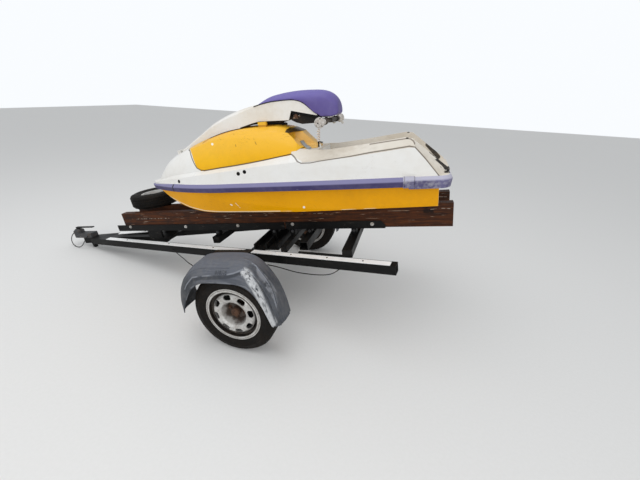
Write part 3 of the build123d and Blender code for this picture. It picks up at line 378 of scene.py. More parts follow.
# shell paints: base, shade it drifts to, dirt and gloss
shellFinishes = {
    "yellowShell": dict(base=(0.8, 0.36, 0.002), drift=(0.75, 0.33, 0.002), dirt=(0.36, 0.17, 0.02), dirtAmount=0.1,
                        scratchColour=(0.3, 0.15, 0.02), speck=0.35, rough=(0.24, 0.42), grain=(220.0, 0.0002, 0.15), shine=0.12,
                        lines=hullMarks),
    "yellowHood": dict(base=(0.84, 0.43, 0.006), drift=(0.86, 0.47, 0.012), dirt=(0.3, 0.17, 0.03), dirtAmount=0.08, scratch=0.6,
                       scratchColour=(0.2, 0.1, 0.02), speck=0.3, rough=(0.24, 0.42), grain=(220.0, 0.0002, 0.15), coat=0.1,
                       shine=0.15, topLightAndFade=(0.15, 0.28, (0.84, 0.475, 0.045), 0.8), lines=hoodMarks),
    "whiteShell": dict(base=(0.79, 0.785, 0.765), drift=(0.775, 0.76, 0.725), dirt=(0.52, 0.46, 0.37), dirtAmount=0.1, scratch=0.2,
                       scratchColour=(0.4, 0.36, 0.31), speck=0.22, rough=(0.24, 0.42), grain=(220.0, 0.0002, 0.12), coat=0.1,
                       lines=[hoodSeam, matSeam] + sideHoles + tornEdge),
    "whiteCover": dict(base=(0.79, 0.77, 0.735), drift=(0.76, 0.715, 0.64), dirt=(0.55, 0.46, 0.33), dirtAmount=0.18, scratch=0.2,
                       scratchColour=(0.4, 0.36, 0.31), speck=0.25, rough=(0.3, 0.5), grain=(220.0, 0.0003, 0.2), coat=0.15),
    "creamFoam": dict(base=(0.73, 0.685, 0.61), drift=(0.67, 0.61, 0.52), dirt=(0.36, 0.29, 0.21), dirtAmount=0.22, scratch=0.15,
                      scratchColour=(0.25, 0.2, 0.15), speck=0.35, rough=(0.72, 0.9), grain=(520.0, 0.0008, 0.6),
                      lines=[matSeam, matPanel, matCorner] + tornEdge),
    # purpleBumper: its paler upper colour is a painted sheen where the light falls on the top
    "purpleBumper": dict(base=(0.052, 0.043, 0.125), drift=(0.075, 0.062, 0.155), dirt=(0.24, 0.23, 0.3), dirtAmount=0.16,
                         scratch=0.45, scratchColour=(0.34, 0.33, 0.4), speck=0.2, rough=(0.34, 0.55), grain=(260.0, 0.0004, 0.3),
                         topLightAndFade=(-0.002, 0.01, (0.235, 0.225, 0.39), 0.9), lines=bumperMarks),
    "bleachedBumper": dict(base=(0.15, 0.14, 0.26), drift=(0.09, 0.08, 0.17), dirt=(0.45, 0.44, 0.48), dirtAmount=0.55,
                           driftScale=9.0, dirtScale=7.0, scratch=0.5, scratchColour=(0.5, 0.49, 0.5), rough=(0.42, 0.65),
                           grain=(260.0, 0.0005, 0.4), topLightAndFade=(0.002, 0.016, (0.5, 0.49, 0.6), 0.9), lines=sternMarks),
    # purpleVinyl: its paler upper colour is painted light on the pad's top
    "purpleVinyl": dict(base=(0.112, 0.084, 0.275), drift=(0.13, 0.102, 0.305), dirt=(0.22, 0.2, 0.36), dirtAmount=0.16,
                        scratch=0.06, scratchColour=(0.3, 0.28, 0.4), speck=0.05, rough=(0.42, 0.54), grain=(700.0, 0.0005, 0.4),
                        topLightAndFade=(0.475, 0.55, (0.165, 0.14, 0.41), 0.75)),
}
# metal, rubber and plastic finishes of the trailer and the fittings
fittingFinishes = {
    "blackPaint": dict(base=(0.005, 0.005, 0.005), drift=(0.009, 0.009, 0.009), dirt=(0.034, 0.031, 0.027), dirtAmount=0.16,
                       scratchColour=(0.16, 0.14, 0.12), speck=0.3, rough=(0.34, 0.6), grain=(180.0, 0.0006, 0.4), shine=0.12),
    "darkSteel": dict(base=(0.04, 0.036, 0.033), drift=(0.075, 0.062, 0.05), dirt=(0.13, 0.09, 0.06),
                      scratchColour=(0.3, 0.28, 0.25), metal=0.3),
    "poleSteel": dict(base=(0.01, 0.009, 0.008), drift=(0.024, 0.019, 0.016), dirt=(0.12, 0.08, 0.05), dirtAmount=0.35,
                      scratchColour=(0.3, 0.28, 0.25), shine=0.15, lines=poleMarks),
    "castAlloy": dict(base=(0.36, 0.36, 0.36), drift=(0.27, 0.27, 0.27), dirt=(0.12, 0.11, 0.09), dirtAmount=0.5, scratch=0.3,
                      scratchColour=(0.5, 0.5, 0.5), rough=(0.4, 0.6), grain=(300.0, 0.0006, 0.5), metal=0.8),
    "weatheredGrip": dict(base=(0.66, 0.63, 0.59), drift=(0.42, 0.36, 0.31), dirt=(0.07, 0.055, 0.045), dirtAmount=0.7,
                          driftScale=22.0, dirtScale=14.0, scratch=0.3, scratchColour=(0.1, 0.1, 0.1), rough=(0.6, 0.8),
                          grain=(300.0, 0.001, 0.6)),
    "blackRubber": dict(base=(0.008, 0.008, 0.008), drift=(0.014, 0.013, 0.012), dirt=(0.055, 0.045, 0.034), dirtAmount=0.3,
                        scratch=0.15, scratchColour=(0.07, 0.06, 0.05), speck=0.2, rough=(0.55, 0.8), grain=(350.0, 0.0006, 0.5),
                        shine=0.12),
    "spareSteel": dict(base=(0.56, 0.56, 0.55), drift=(0.46, 0.45, 0.43), dirt=(0.2, 0.13, 0.08), dirtAmount=0.45, scratch=0.3,
                       scratchColour=(0.2, 0.14, 0.1), rough=(0.35, 0.6), grain=(200.0, 0.0006, 0.3), metal=0.2),
    "rustyIron": dict(base=(0.07, 0.04, 0.028), drift=(0.125, 0.062, 0.036), dirt=(0.025, 0.018, 0.015), dirtAmount=0.7,
                      driftScale=18.0, dirtScale=16.0, scratch=0.3, scratchColour=(0.3, 0.2, 0.13), speck=0.5, rough=(0.7, 0.9),
                      grain=(260.0, 0.0015, 0.8)),
    "whiteStrip": dict(base=(0.93, 0.935, 0.93), drift=(0.86, 0.86, 0.85), dirt=(0.34, 0.31, 0.27), dirtAmount=0.12,
                       scratchColour=(0.3, 0.27, 0.23), speck=0.35, rough=(0.3, 0.5), grain=(200.0, 0.0003, 0.2)),
    "greyCasting": dict(base=(0.06, 0.062, 0.066), drift=(0.1, 0.1, 0.1), dirt=(0.1, 0.06, 0.035), dirtAmount=0.5, scratch=0.5,
                        scratchColour=(0.3, 0.3, 0.3), speck=0.5, rough=(0.4, 0.65), grain=(160.0, 0.001, 0.6), metal=0.3),
    "zincPlate": dict(base=(0.58, 0.57, 0.55), drift=(0.4, 0.38, 0.35), dirt=(0.17, 0.12, 0.08), driftScale=20.0, dirtScale=30.0,
                      scratch=0.2, scratchColour=(0.2, 0.18, 0.16), speck=0.3, rough=(0.3, 0.5), grain=(400.0, 0.0004, 0.4),
                      metal=0.55),
    "whitePlastic": dict(base=(0.74, 0.73, 0.7), drift=(0.62, 0.6, 0.55), dirt=(0.22, 0.18, 0.13), driftScale=20.0, dirtScale=30.0,
                         scratch=0.2, scratchColour=(0.2, 0.18, 0.16), speck=0.3, rough=(0.35, 0.55), grain=(400.0, 0.0004, 0.3)),
    "greyRubber": dict(base=(0.2, 0.215, 0.225), drift=(0.27, 0.29, 0.3), dirt=(0.3, 0.31, 0.31), driftScale=14.0, scratch=0.2,
                       scratchColour=(0.4, 0.4, 0.4), speck=0.2, rough=(0.4, 0.6), grain=(400.0, 0.0006, 0.4)),
    "curlyCream": dict(base=(0.8, 0.72, 0.62), drift=(0.6, 0.46, 0.36), dirt=(0.16, 0.09, 0.06), dirtAmount=0.5, driftScale=60.0,
                       dirtScale=40.0, scratch=0.0, speck=0.0, rough=(0.4, 0.6), grain=(500.0, 0.0003, 0.3)),
}
materials = {name: makeFinish(name, f) for name, f in {**shellFinishes, **fittingFinishes}.items()}


def makeBunkWood():
    # stained timber: long grain lines in X, dark stain drift, pale scuffs along the length
    material, tree, shader, coords = startMaterial("stainedTimber")
    level = levelCoords(tree, coords, "trailer")
    grain = noiseOf(tree, mapped(tree, level, Scale=(0.9, 14.0, 14.0)), 6.0, 8.0, Roughness=0.7, Distortion=0.6)
    colour = mixColour(tree, between(tree, grain, 0.3, 0.72), (0.014, 0.005, 0.003), (0.112, 0.034, 0.01))
    colour = mixColour(tree, useEffect(tree, "dirt", coords, Scale=2.2, Amount=0.7)["Mask"], colour, (0.012, 0.008, 0.007))
    scuff = noiseOf(tree, mapped(tree, level, Scale=(3.0, 40.0, 60.0)), 2.4, 3.0)
    colour = mixColour(tree, between(tree, scuff, 0.655, 0.71), colour, (0.36, 0.27, 0.2))
    colour = lineSets(tree, colour, coords, bunkMarks, "trailer")[0]
    gloss = between(tree, grain, 0.3, 0.7, 0.4, 0.7)
    finishShader(tree, shader, colour, gloss, bumped(tree, grain, 0.0015, 0.6), **{"Specular IOR Level": 0.15})
    return material


# radii on the wheel where each starts and ends, metres
wheelPaint = {"rust": (0.064, 0.086), "recessShade": ((0.136, 0.143), (0.16, 0.164)), "grooveShade": ((0.1725, 0.1735), (0.1755, 0.1765))}


def makeWheelSteel():
    # silver wheel paint: brake rust spreading from the middle, painted shade in the recess inside the flange and in a
    # fine ring on it
    material, tree, shader, coords = startMaterial("wheelSteel")
    radius = useEffect(tree, "rings", mapped(tree, coords, Location=tuple(-axle)))["Radius"]
    noise = noiseOf(tree, coords, 28.0, 6.0)
    colour = mixColour(tree, between(tree, noise, 0.35, 0.7), (0.62, 0.61, 0.59), (0.47, 0.455, 0.43))
    worn = maths(tree, "ADD", radius, times(tree, maths(tree, "SUBTRACT", noise, 0.5), 0.05))
    colour = mixColour(tree, between(tree, worn, *wheelPaint["rust"], 0.95, 0.0), colour, (0.045, 0.028, 0.02))
    # painted shade: dark bands in the recess inside the flange and in a fine ring on the flange
    grooveShade = times(tree, band(tree, radius, *wheelPaint["grooveShade"]), 0.7)
    dark = maths(tree, "MAXIMUM", band(tree, radius, *wheelPaint["recessShade"]), grooveShade)
    colour = mixColour(tree, dark, colour, (0.022, 0.019, 0.017))
    colour = mixColour(tree, useEffect(tree, "dirt", coords, Scale=9.0, Amount=0.4)["Mask"], colour, (0.14, 0.1, 0.07))
    colour = mixColour(tree, useEffect(tree, "speck", coords, Scale=90.0, Size=0.16, Amount=0.8)["Mask"], colour, (0.1, 0.05, 0.03))
    grain = useEffect(tree, "grain", coords, Scale=240.0, Depth=0.0006, Strength=0.35)["Normal"]
    finishShader(tree, shader, colour, between(tree, noise, 0.3, 0.7, 0.34, 0.58), grain, Metallic=0.5)
    return material


tyrePattern = {"wallRings": 26.0, "ringHeight": 0.001, "sipes": 74.0, "sipeDepth": 0.004}


def makeTyreRubber(name, centre, bead, shoulder, lying=False):
    # black rubber with raised rings on the wall between bead and shoulder, and tread sipes round the crown
    material, tree, shader, coords = startMaterial(name)
    centred = mapped(tree, coords, Location=tuple(-np.array(centre)))
    if lying:
        place = tuple(-turnedY(centre, -stand["lean"]))
        level = mapped(tree, coords, Rotation=(0.0, -radians(stand["lean"]), 0.0), Location=place)
        centred = mapped(tree, level, Rotation=(radians(90.0), 0.0, 0.0))
    rings = useEffect(tree, "rings", centred)
    radius = rings["Radius"]
    wave = maths(tree, "SINE", times(tree, between(tree, radius, bead, shoulder), tyrePattern["wallRings"]))
    onWall = band(tree, radius, (bead - 0.004, bead + 0.002), (shoulder - 0.006, shoulder))
    ridge = maths(tree, "POWER", maths(tree, "ABSOLUTE", wave), 8.0)
    ringHeight = times(tree, ridge, onWall, tyrePattern["ringHeight"])
    sipe = between(tree, maths(tree, "SINE", times(tree, rings["Turn"], tau * tyrePattern["sipes"])), 0.72, 0.86)
    deep = tyrePattern["sipeDepth"]
    sipeHeight = times(tree, sipe, between(tree, radius, shoulder + 0.001, shoulder + 0.008), -deep)
    noise = noiseOf(tree, coords, 30.0, 5.0)
    colour = mixColour(tree, between(tree, noise, 0.35, 0.7), (0.005, 0.0045, 0.004), (0.01, 0.008, 0.0065))
    colour = mixColour(tree, useEffect(tree, "dirt", coords, Scale=8.0, Amount=0.35)["Mask"], colour, (0.03, 0.021, 0.014))
    # painted shade: the sipes darker toward their bottoms
    colour = mixColour(tree, between(tree, sipeHeight, -0.75 * deep, -0.25 * deep, 0.7, 0.0), colour, (0.004, 0.004, 0.004))
    grain = useEffect(tree, "grain", coords, Scale=420.0, Depth=0.0005, Strength=0.4)["Normal"]
    normal = bumped(tree, maths(tree, "ADD", ringHeight, sipeHeight), 1.0, 1.0, Normal=grain)
    finishShader(tree, shader, colour, between(tree, noise, 0.3, 0.7, 0.55, 0.8), normal, **{"Specular IOR Level": 0.15})
    return material


def makeGuardPlastic():
    # weathered black plastic: lengthwise streaks, grey on top as painted light falling on the upper faces, white rubbed
    # streaks along the outer rear shoulder, painted highlights and shade along the shoulder and crease
    material, tree, shader, coords = startMaterial("guardPlastic")
    level = levelCoords(tree, coords, "trailer")
    streak = noiseOf(tree, mapped(tree, level, Scale=(1.0, 16.0, 1.0)), 9.0, 5.0)
    colour = mixColour(tree, between(tree, streak, 0.36, 0.66), (0.045, 0.05, 0.06), (0.088, 0.095, 0.112))
    parts = partsOf(tree, level)
    # painted light: lighter grey on the upper faces of the mudguard
    colour = mixColour(tree, between(tree, parts["Z"], 0.2, 0.33, 0.0, 0.55), colour, (0.13, 0.139, 0.168))
    colour, sunk = lineSets(tree, colour, coords, guardLines, "trailer")
    rub = guardRub
    path = runMask(tree, level, rub["points"], rub["width"], rub["blur"])
    fine = mapped(tree, level, Rotation=(0.0, radians(30.0), 0.0), Scale=(30.0, 55.0, 8.0))
    torn = noiseOf(tree, fine, 1.6, 6.0, Roughness=0.7)
    outside = between(tree, maths(tree, "ABSOLUTE", parts["Y"]), rub["fromY"] - 0.012, rub["fromY"] + 0.006)
    rubbed = times(tree, path, outside, between(tree, torn, 0.36, 0.54))
    colour = mixColour(tree, times(tree, rubbed, 0.9), colour, (0.6, 0.61, 0.62))
    colour = mixColour(tree, useEffect(tree, "dirt", coords, Scale=5.0, Amount=0.3)["Mask"], colour, (0.16, 0.155, 0.15))
    colour = mixColour(tree, useEffect(tree, "scratch", coords, Scale=24.0, Amount=0.5)["Mask"], colour, (0.26, 0.27, 0.29))
    bumps = maths(tree, "ADD", times(tree, torn, times(tree, rubbed, 0.002)), times(tree, streak, 0.0012))
    normal = bumped(tree, maths(tree, "ADD", bumps, sunk), 1.0, 0.8)
    finishShader(tree, shader, colour, between(tree, streak, 0.3, 0.7, 0.34, 0.58), normal, **{"Specular IOR Level": 0.3})
    return material


# marks on the bunks and the mudguards: (x, z) points of the level trailer frame, metres
bunkMarks = [dict(box=((-1.165, 0.0, 0.398), (-1.11, 0.4, 0.432)), blur=0.01, broken=40.0, cut=0.36, amount=0.85,
                  colour=(0.008, 0.004, 0.003)),
             dict(points=[(-1.262, 0.419), (-1.215, 0.422), (-1.15, 0.417)], width=0.002, blur=0.002, broken=30.0, cut=0.36,
                  amount=0.9, colour=(0.34, 0.27, 0.22)),
             dict(points=[(1.3, 0.405), (0.9, 0.404)], width=0.003, blur=0.002, broken=55.0, cut=0.47, amount=0.8,
                  colour=(0.36, 0.29, 0.23)),
             dict(points=[(0.62, 0.404), (-0.56, 0.412)], width=0.002, blur=0.002, broken=24.0, cut=0.53, amount=0.8,
                  colour=(0.36, 0.29, 0.23))]
guardRub = {"points": [(-0.145, 0.3), (-0.172, 0.278), (-0.206, 0.23), (-0.23, 0.176), (-0.246, 0.118), (-0.262, 0.048),
                       (-0.276, -0.02)],
            "width": 0.016, "blur": 0.014, "fromY": 0.775}
shoulder = [(0.262, 0.19), (0.244, 0.219), (0.195, 0.265), (0.132, 0.279), (0.049, 0.286), (-0.042, 0.29), (-0.085, 0.297),
            (-0.125, 0.307), (-0.16, 0.302), (-0.193, 0.277), (-0.221, 0.219), (-0.244, 0.146), (-0.252, 0.074)]
crease = [(-0.165, 0.318), (-0.189, 0.302), (-0.239, 0.23), (-0.275, 0.155), (-0.292, 0.078), (-0.29, 0.016)]
# on the mudguards the shoulder and the crease each get a painted highlight line with a painted shade line just beside
# it; the first box darkens the front and the bottom
guardLines = [dict(box=((0.215, -0.9, -0.1), (0.45, 0.9, 0.21)), blur=0.09, amount=0.65, colour=(0.018, 0.021, 0.026)),
              dict(beyond=0.775, points=[(x * 0.975, z - 0.01) for x, z in shoulder], width=0.01, blur=0.008, amount=0.75,
                   colour=(0.022, 0.025, 0.032)),
              dict(beyond=0.775, points=shoulder, width=0.003, blur=0.004, amount=0.65, depth=0.002, broken=12.0,
                   colour=(0.26, 0.275, 0.31)),
              dict(beyond=0.722, within=0.785, points=[(x * 0.975, z - 0.006) for x, z in crease], width=0.005, blur=0.006,
                   amount=0.4, colour=(0.03, 0.034, 0.042)),
              dict(beyond=0.722, within=0.785, points=crease, width=0.002, blur=0.0025, amount=0.7, depth=0.001, broken=30.0,
                   cut=0.36, colour=(0.3, 0.315, 0.35)),
              dict(box=((-0.04, 0.5, 0.292), (0.032, 0.9, 0.306)), blur=0.004, broken=150.0, amount=0.8,
                   colour=(0.016, 0.018, 0.024)),
              dict(points=[(0.262, 0.125), (0.209, 0.205), (0.148, 0.239), (0.056, 0.251), (-0.042, 0.2515), (-0.112, 0.248),
                           (-0.163, 0.232), (-0.198, 0.201)],
                   width=0.004, blur=0.003, amount=0.5, broken=14.0, colour=(0.22, 0.235, 0.26))]
spareCentre = (np.array(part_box("spare_tyre")[0]) + np.array(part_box("spare_tyre")[1])) / 2
materials["stainedTimber"] = makeBunkWood()
materials["wheelSteel"] = makeWheelSteel()
materials["roadTyre"] = makeTyreRubber("roadTyre", axle, 0.19, 0.256)
materials["spareTyreRubber"] = makeTyreRubber("spareTyreRubber", spareCentre, 0.126, 0.196, lying=True)
materials["guardPlastic"] = makeGuardPlastic()

# the nodes that have each finish; the others are black paint
finishNodes = {
    "yellowShell": ["hull_lower"],
    "yellowHood": ["engine_hood"],
    "whiteShell": ["deck_upper"],
    "whiteCover": ["pole_cover", "bow_pivot_bracket"],
    "creamFoam": ["rail_mat_left", "rail_mat_right", "tray_mat"],
    "bleachedBumper": ["bumper_stern"],
    "purpleBumper": ["bumper_bow", "bumper_side_left", "bumper_side_right"],
    "purpleVinyl": ["chin_pad"],
    "castAlloy": ["engine_block", "pump_housing", "impeller", "steering_nozzle", "intake_grate", "ride_plate"],
    "poleSteel": ["pole_arm", "steering_plate"],
    "darkSteel": ["handlebar"],
    "weatheredGrip": ["grip_left", "grip_right"],
    "roadTyre": ["tyre_left", "tyre_right"],
    "spareTyreRubber": ["spare_tyre"],
    "wheelSteel": ["rim_left", "rim_right"],
    "spareSteel": ["spare_rim"],
    "rustyIron": ["hub_left", "hub_right"],
    "guardPlastic": ["mudguard_left", "mudguard_right"],
    "stainedTimber": ["bunk_left", "bunk_right"],
    "whiteStrip": ["rail_strips_left", "rail_strips_right"],
    "greyCasting": ["coupling_head"],
    "curlyCream": ["lanyard_cord"],
    "blackRubber": ["guard_wire", "rail_wire", "coupling_lead"],
}
nodeFinish = {node: finish for finish, nodes in finishNodes.items() for node in nodes}


def cadObject(node):
    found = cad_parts[node]
    return bpy.data.objects.get(found) if isinstance(found, str) else found


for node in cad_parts:
    target = cadObject(node)
    target.data.materials.clear()
    target.data.materials.append(materials[nodeFinish.get(node, "blackPaint")])
print("finishes assigned")


def gridFaces(rows, columns, wrapped):
    # quads between neighbouring rows; the last column meets the first when wrapped
    r = np.arange(rows - 1)[:, None] * columns
    c = np.arange(columns if wrapped else columns - 1)[None, :]
    d = (c + 1) % columns
    return np.stack(np.broadcast_arrays(r + c, r + d, r + columns + d, r + columns + c), -1).reshape(-1, 4)


def cleanMesh(mesh, sharp):
    # poles and seams merged, normals turned outward, smooth but for edges sharper than the angle
    work = bmesh.new()
    work.from_mesh(mesh)
    bmesh.ops.remove_doubles(work, verts=work.verts, dist=2e-6)
    bmesh.ops.dissolve_degenerate(work, edges=work.edges, dist=1e-6)
    bmesh.ops.recalc_face_normals(work, faces=work.faces)
    work.to_mesh(mesh)
    work.free()
    mesh.polygons.foreach_set("use_smooth", [True] * len(mesh.polygons))
    mesh.set_sharp_from_angle(angle=radians(sharp))


def placePiece(name, mesh, finish, body):
    piece = bpy.data.objects.new(name, mesh)
    scene.collection.objects.link(piece)
    mesh.materials.append(materials[finish])
    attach(piece, body)
    return piece


def makeSurface(name, grids, finish, body=trunk, sharp=40.0):
    # grids of points (rows, columns, 3), wrapped or not, put together as one mesh
    points, faces, start = [], [], 0
    for grid, wrapped in grids:
        rows, columns = grid.shape[:2]
        points.append(grid.reshape(-1, 3))
        faces.append(gridFaces(rows, columns, wrapped) + start)
        start += rows * columns
    mesh = bpy.data.meshes.new(name)
    mesh.from_pydata(np.concatenate(points).tolist(), [], np.concatenate(faces).tolist())
    cleanMesh(mesh, sharp)
    return placePiece(name, mesh, finish, body)


def unit(v):
    v = np.asarray(v, float)
    return v / np.linalg.norm(v, axis=-1, keepdims=True)


def turnedGrid(centre, axis, rows, steps=24, turn=0.0):
    # profile rows (radius, height, hex share or nothing) carried round an axis; where the hex share is 1 the radius
    # follows a hexagon: inner radius / cos(angle from the middle of the flat)
    rows = np.asarray(rows, float)
    if rows.shape[1] == 2:
        rows = np.column_stack([rows, np.zeros(len(rows))])
    axis = unit(axis)
    side = unit(np.cross(axis, (0.31, 0.17, 0.93)))
    up = np.cross(axis, side)
    angle = np.linspace(0.0, tau, steps, endpoint=False) + turn
    flat = np.cos((angle + tau / 12) % (tau / 6) - tau / 12)
    radius = rows[:, :1] * (1.0 + rows[:, 2:3] * (0.93 / flat[None, :] - 1.0))
    ring = np.cos(angle)[:, None] * side + np.sin(angle)[:, None] * up
    return np.asarray(centre) + radius[..., None] * ring[None] + rows[:, 1][:, None, None] * axis, True


def hexBolt(centre, axis, size, turn=0.0):
    # washer, hexagon head with a chamfered top
    shape = [(0, -0.1, 0), (1.5, -0.1, 0), (1.5, 0.16, 0), (1.42, 0.24, 0), (1.0, 0.24, 1), (1.0, 0.86, 1), (0.92, 1.0, 0.5),
             (0.8, 1.04, 0), (0, 1.04, 0)]
    return turnedGrid(centre, axis, np.array(shape) * (size, size, 1), 24, turn)


def panScrew(centre, axis, size):
    # domed head with a sunk middle
    shape = [(0, -0.2), (1, -0.2), (1, 0.15), (0.85, 0.42), (0.45, 0.55), (0.4, 0.3), (0, 0.3)]
    return turnedGrid(centre, axis, np.array(shape) * size, 16)


def sweptGrid(path, width, height, sides=14, power=1.0, up=(0, 0, 1)):
    # a rounded section carried along a path, closed by quarter-round ends: across = width cos^power, off = height sin^power
    path = np.asarray(path, float)
    along = unit(np.gradient(path, axis=0))
    end = min(width, height)
    lift = np.sin(np.linspace(0.0, tau / 4, 4))[1:]
    path = np.concatenate([path[0] - along[0] * end * lift[::-1, None], path, path[-1] + along[-1] * end * lift[:, None]])
    shrink = np.concatenate([np.sqrt(1 - lift[::-1] ** 2), np.ones(len(along)), np.sqrt(1 - lift ** 2)])
    along = np.concatenate([np.repeat(along[:1], 3, 0), along, np.repeat(along[-1:], 3, 0)])
    across = unit(np.cross(np.asarray(up, float), along))
    off = np.cross(along, across)
    angle = np.linspace(0.0, tau, sides, endpoint=False)
    c, s = np.cos(angle), np.sin(angle)
    a = np.sign(c) * np.abs(c) ** power * width
    b = np.sign(s) * np.abs(s) ** power * height
    return path[:, None] + shrink[:, None, None] * (a[None, :, None] * across[:, None] + b[None, :, None] * off[:, None]), True


def eased(points, count=24):
    # points along a polyline at even steps, rounded by averaging over a short window
    p = np.asarray(points, float)
    run = np.concatenate([[0.0], np.cumsum(np.linalg.norm(np.diff(p, axis=0), axis=1))])
    s = np.linspace(0.0, run[-1], count)
    window = np.linspace(-0.5, 0.5, 5) * run[-1] * 0.12
    spread = np.minimum(1.0, np.minimum(s, run[-1] - s) / (run[-1] * 0.06))
    samples = s[:, None] + window[None, :] * spread[:, None]
    return np.stack([np.interp(samples, run, p[:, i]).mean(1) for i in range(3)], -1)


def craftBar(points, count, width, height, sides=14, **more):
    # an eased line of the craft frame with a rounded section
    return sweptGrid(fromCraft(eased(points, count)), width, height, sides, **more)


def bothWays(points):
    # the points as they are and mirrored, with the side's sign
    return [(s, np.array(points) * (1, s, 1)) for s in (1, -1)]


# cords: route points in the trailer frame, metres, as the solids have them
cordSettings = {
    "guardWire": {"node": "guard_wire", "diameter": 0.006, "points": [
        (0.88, 0.2285, 0.158), (0.8, 0.275, 0.163), (0.725, 0.332, 0.174), (0.64, 0.398, 0.184), (0.56, 0.455, 0.194),
        (0.48, 0.522, 0.206), (0.4, 0.58, 0.22), (0.322, 0.64, 0.234)]},
    "railWire": {"node": "rail_wire", "diameter": 0.006, "points": [
        (-0.212, 0.64, 0.262), (-0.245, 0.6, 0.23), (-0.29, 0.572, 0.196), (-0.345, 0.546, 0.162), (-0.4, 0.52, 0.138),
        (-0.462, 0.496, 0.118), (-0.52, 0.476, 0.108), (-0.566, 0.458, 0.114), (-0.596, 0.44, 0.1325)]},
    "couplingLead": {"node": "coupling_lead", "diameter": 0.007, "points": [
        (2.03, 0.0425, 0.216), (2.058, 0.06, 0.19), (2.08, 0.074, 0.156), (2.118, 0.08, 0.124), (2.17, 0.08, 0.1125),
        (2.222, 0.074, 0.124), (2.258, 0.062, 0.158), (2.266, 0.046, 0.198), (2.25, 0.03, 0.232), (2.233, 0.02, 0.246)]},
}
lanyard = {"route": [(-0.528, 0.303, 0.9725), (-0.521, 0.302, 0.94), (-0.517, 0.298, 0.904)], "turns": 5, "perTurn": 14,
           "coilRadius": 0.0082, "strand": 0.0055}


def makeCordCurve(name, points, diameter):
    # one open NURBS line through round control points, its thickness a bevel
    curve = bpy.data.curves.new(name, "CURVE")
    curve.dimensions = "3D"
    spline = curve.splines.new("NURBS")
    spline.points.add(len(points) - 1)
    spline.points.foreach_set("co", np.concatenate([points, np.ones((len(points), 1))], 1).ravel())
    spline.order_u = 3
    spline.use_endpoint_u = True
    spline.resolution_u = 8
    curve.bevel_depth = diameter / 2
    curve.bevel_resolution = 3
    curve.use_fill_caps = True
    return curve


def linePoints(curve):
    # the curve's own line: its mesh with no bevel
    depth = curve.bevel_depth
    curve.bevel_depth = 0.0
    holder = bpy.data.objects.new("lineHolder", curve)
    scene.collection.objects.link(holder)
    bpy.context.view_layer.update()
    mesh = bpy.data.meshes.new_from_object(holder.evaluated_get(bpy.context.evaluated_depsgraph_get()))
    points = np.empty(len(mesh.vertices) * 3)
    mesh.vertices.foreach_get("co", points)
    bpy.data.objects.remove(holder)
    curve.bevel_depth = depth
    return points.reshape(-1, 3)


def makeCord(name, node, points, diameter, finish, body, **facts):
    curve = makeCordCurve(name, points, diameter)
    line = linePoints(curve)
    cord = bpy.data.objects.new(name, curve)
    scene.collection.objects.link(cord)
    curve.materials.append(materials[finish])
    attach(cord, body)
    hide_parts(node)
    return cord


for cordName, c in cordSettings.items():
    makeCord(cordName, c["node"], fromTrailer(c["points"]), c["diameter"], "blackRubber", trunk, stiffness="medium", lay="hanging")


def makeLanyard():
    # helix round the route's own line: radius eased from three quarters at both ends, angle rising evenly
    route = linePoints(makeCordCurve("lanyardRoute", fromTrailer(lanyard["route"]), 0.022))
    run = np.concatenate([[0.0], np.cumsum(np.linalg.norm(np.diff(route, axis=0), axis=1))])
    count = lanyard["turns"] * lanyard["perTurn"] + 1
    share = np.linspace(0.0, 1.0, count)
    middle = np.stack([np.interp(share * run[-1], run, route[:, i]) for i in range(3)], -1)
    along = unit(np.gradient(middle, axis=0))
    across = unit(np.cross(along, (0, 1, 0)))
    off = np.cross(along, across)
    radius = lanyard["coilRadius"] * (0.75 + 0.25 * np.clip(np.minimum(share, 1 - share) / 0.12, 0.0, 1.0))
    angle = share * tau * lanyard["turns"] + 0.6
    helix = middle + radius[:, None] * (np.cos(angle)[:, None] * across + np.sin(angle)[:, None] * off)
    return makeCord("curlyLanyard", "lanyard_cord", helix, lanyard["strand"], "curlyCream", "steering_bar", stiffness="limp",
                    lay="coiled")


makeLanyard()
clipLine = np.array([(-0.517, 0.298, 0.904), (-0.5165, 0.2975, 0.893), (-0.516, 0.297, 0.876)])
print("cords made")

padShape = {"voxel": 0.005, "softenSteps": 10, "pressure": 4.0, "steps": 20, "swell": 0.004}


def takeModifiers(piece):
    # the mesh as its modifiers leave it
    mesh = bpy.data.meshes.new_from_object(piece.evaluated_get(bpy.context.evaluated_depsgraph_get()))
    piece.modifiers.clear()
    piece.data = mesh


def meshPoints(mesh):
    points = np.empty(len(mesh.vertices) * 3)
    mesh.vertices.foreach_get("co", points)
    return points.reshape(-1, 3)


